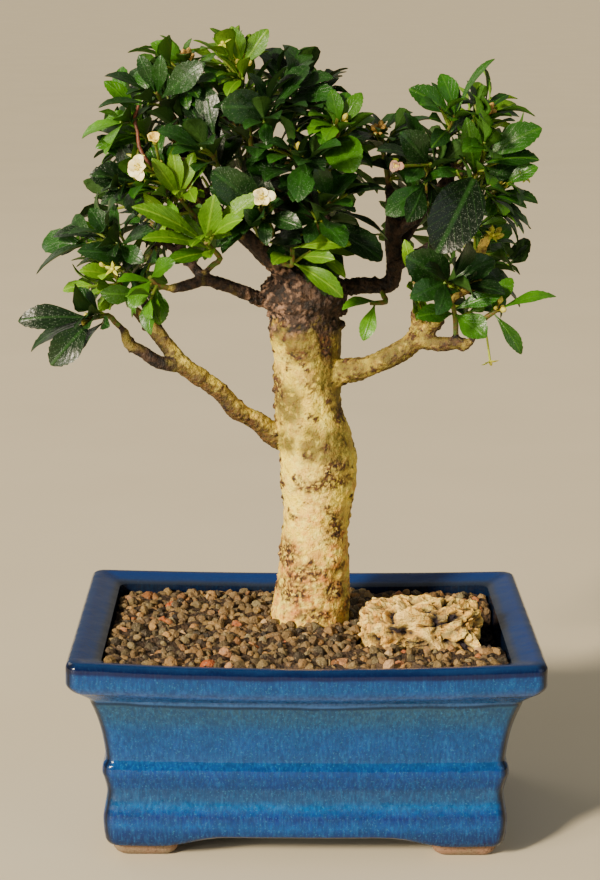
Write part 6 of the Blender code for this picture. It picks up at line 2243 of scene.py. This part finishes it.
        # Painted shade: olive-brown and scarred colour under the burl, and on the low branches' undersides,
        # darker the more the skin faces down
        zone = trunk * clamped((spot.z - self.shaded_from) / 8) * clamped((spot.x + 13) / 7)
        olive = max(olive, zone * (1.4 + 0.4 * wave))
        scar = max(scar, 0.8 * zone * clamped(rough + 0.25))
        if trunk < 0.6 and young < 0.5 and spot.z < self.low_branches and abs(spot.x) > 13:
            shaded = clamped(0.62 - 1.3 * normal[2] + 0.6 * rough)
            if spot.x < 0:
                olive = max(olive, 0.45 + 0.3 * wave + 1.2 * shaded)
                scar = max(scar, 0.85 * shaded * min(1.0, 1.6 + spot.x / 90))
            else:
                olive = max(olive, 1.1 + 0.4 * wave)
                scar = max(scar, max(0.3, shaded) * clamped(2.4 * rough))
        higher = clamped((spot.z - self.rosy_to) / 30)
        olive = max(olive, 0.55 * higher * max(0.0, wave + 0.4)) * (1.0 if trunk > 0.3 else 0.9)
        # The trunk's foot is rosy, and the burl has a painted highlight on its left, where it catches the
        # sun
        rosy = clamped((self.rosy_to - spot.z) / 35 + 0.8 * wave)
        if burred > 0:
            rosy = clamped(0.35 - spot.x / 16, 0.15)
        return lift, (rosy, olive, min(1.0, scar), clamped(young + 0.5 * wave) * (1 - trunk), burred)

    def build(self) -> None:
        """Skins the rough form, roughens it and marks the colours of its bark."""
        obj = self.rough_form()
        skin = obj.modifiers.new("skin", "REMESH")
        skin.mode, skin.voxel_size, skin.adaptivity = "VOXEL", self.voxel * MM, 0.0
        smoothing = obj.modifiers.new("worn", "SMOOTH")
        smoothing.factor, smoothing.iterations = 0.5, 2
        applied(obj)
        mesh = obj.data
        count = len(mesh.vertices)
        places, normals = np.empty(count * 3), np.empty(count * 3)
        mesh.vertices.foreach_get("co", places)
        mesh.vertices.foreach_get("normal", normals)
        spots = (places.reshape(-1, 3) - np.array(HOME)) / MM
        normals = normals.reshape(-1, 3)
        knobs = self.knob_spots()
        tree = point_tree([spot for spot, _, _ in knobs])
        rows = []
        for i, (young, radius) in enumerate(zip(*self.nearest(spots))):
            spot = Vector(spots[i])
            _, number, distance = tree.find(spot)
            lift, row = self.bark(spot, normals[i], young, radius, (number, knobs[number][2], distance))
            spots[i] += normals[i] * lift
            rows.append(row)
        mesh.vertices.foreach_set("co", (spots * MM + np.array(HOME)).ravel())
        mesh.update()
        for name, values in zip(("rosy", "olive", "scar", "young", "burl"), zip(*rows)):
            write_attribute(mesh, name, values)
        mesh.materials.clear()
        mesh.materials.append(FukienBark().build())
        dress(obj, [], ["trunk"], 180)


@dataclass
class Studio:
    """A pale floor that sweeps far back, and soft lights like the low sun in a bright room."""

    floor_half: float = 60.0
    air: str = "#d6cfc2"
    air_strength: float = 0.40
    key_from: tuple = (-1.0, -1.15, 0.72)
    key_strength: float = 6.4
    # As wide across as a window seen from a few metres
    key_angle: float = math.radians(8)
    key_colour: str = "#ffedcf"
    aim: tuple = (0, 0, 0.18)
    # Square lights that look at the plant: name, place and side in metres, watts and colour
    soft_lights: tuple = (
        ("window", (-0.95, -0.95, 0.50), 0.5, 15.0, "#fff6e8"),
        ("fill", (1.3, -1.0, 0.8), 1.2, 4.0, "#eef3ff"),
        ("back", (-1.5, 1.4, 1.5), 1.0, 7.0, "#fff4e2"),
    )

    def light(self, kind: str, name: str, place: Point, ahead: Vector, **settings: Any) -> None:
        """Adds a light.

        Args:
            kind: Blender's name for its kind.
            name: Its name.
            place: Where it stands, in metres.
            ahead: The way it shines.
            **settings: Its power, colour and size.
        """
        data = bpy.data.lights.new(name, kind)
        for key, value in settings.items():
            setattr(data, key, linear(value)[:3] if key == "color" else value)
        lamp = bpy.data.objects.new(name, data)
        lamp.location = place
        lamp.rotation_mode = "QUATERNION"
        lamp.rotation_quaternion = ahead.to_track_quat("-Z", "Y")
        bpy.context.scene.collection.objects.link(lamp)

    def build(self) -> None:
        """Lays the floor, fills the air and sets the lights."""
        side = self.floor_half
        mesh = bpy.data.meshes.new("floor")
        corners = [(x, y, 0) for x, y in ((-side, -side), (side, -side), (side, side), (-side, side))]
        mesh.from_pydata(corners, [], [(0, 1, 2, 3)])
        floor = bpy.data.objects.new("floor", mesh)
        bpy.context.scene.collection.objects.link(floor)
        mesh.materials.append(PaintedBoard().build())
        world = bpy.data.worlds.new("bright_room")
        world.use_nodes = True
        world.node_tree.nodes.clear()
        air = add_node(world.node_tree, "ShaderNodeBackground", {
            "Color": self.air, "Strength": self.air_strength})
        add_node(world.node_tree, "ShaderNodeOutputWorld", {0: air.outputs[0]})
        bpy.context.scene.world = world
        self.light("SUN", "key", (0, 0, 0), -Vector(self.key_from), energy=self.key_strength,
                   angle=self.key_angle, color=self.key_colour)
        for name, place, size, watts, colour in self.soft_lights:
            ahead = Vector(self.aim) - Vector(place)
            self.light("AREA", name, place, ahead, size=size, energy=watts, color=colour)


def main() -> None:
    """Builds the pot, its filling, the wood, the crown, the flowers and the studio, in that order."""
    logging.basicConfig(level=logging.INFO, format="%(message)s")
    camera = Camera()
    camera.build()
    Pot().build()
    Filling().build()
    Wood().build()
    Crown(camera).build()
    Blossoms().build()
    Studio().build()


if __name__ == "__main__":
    main()
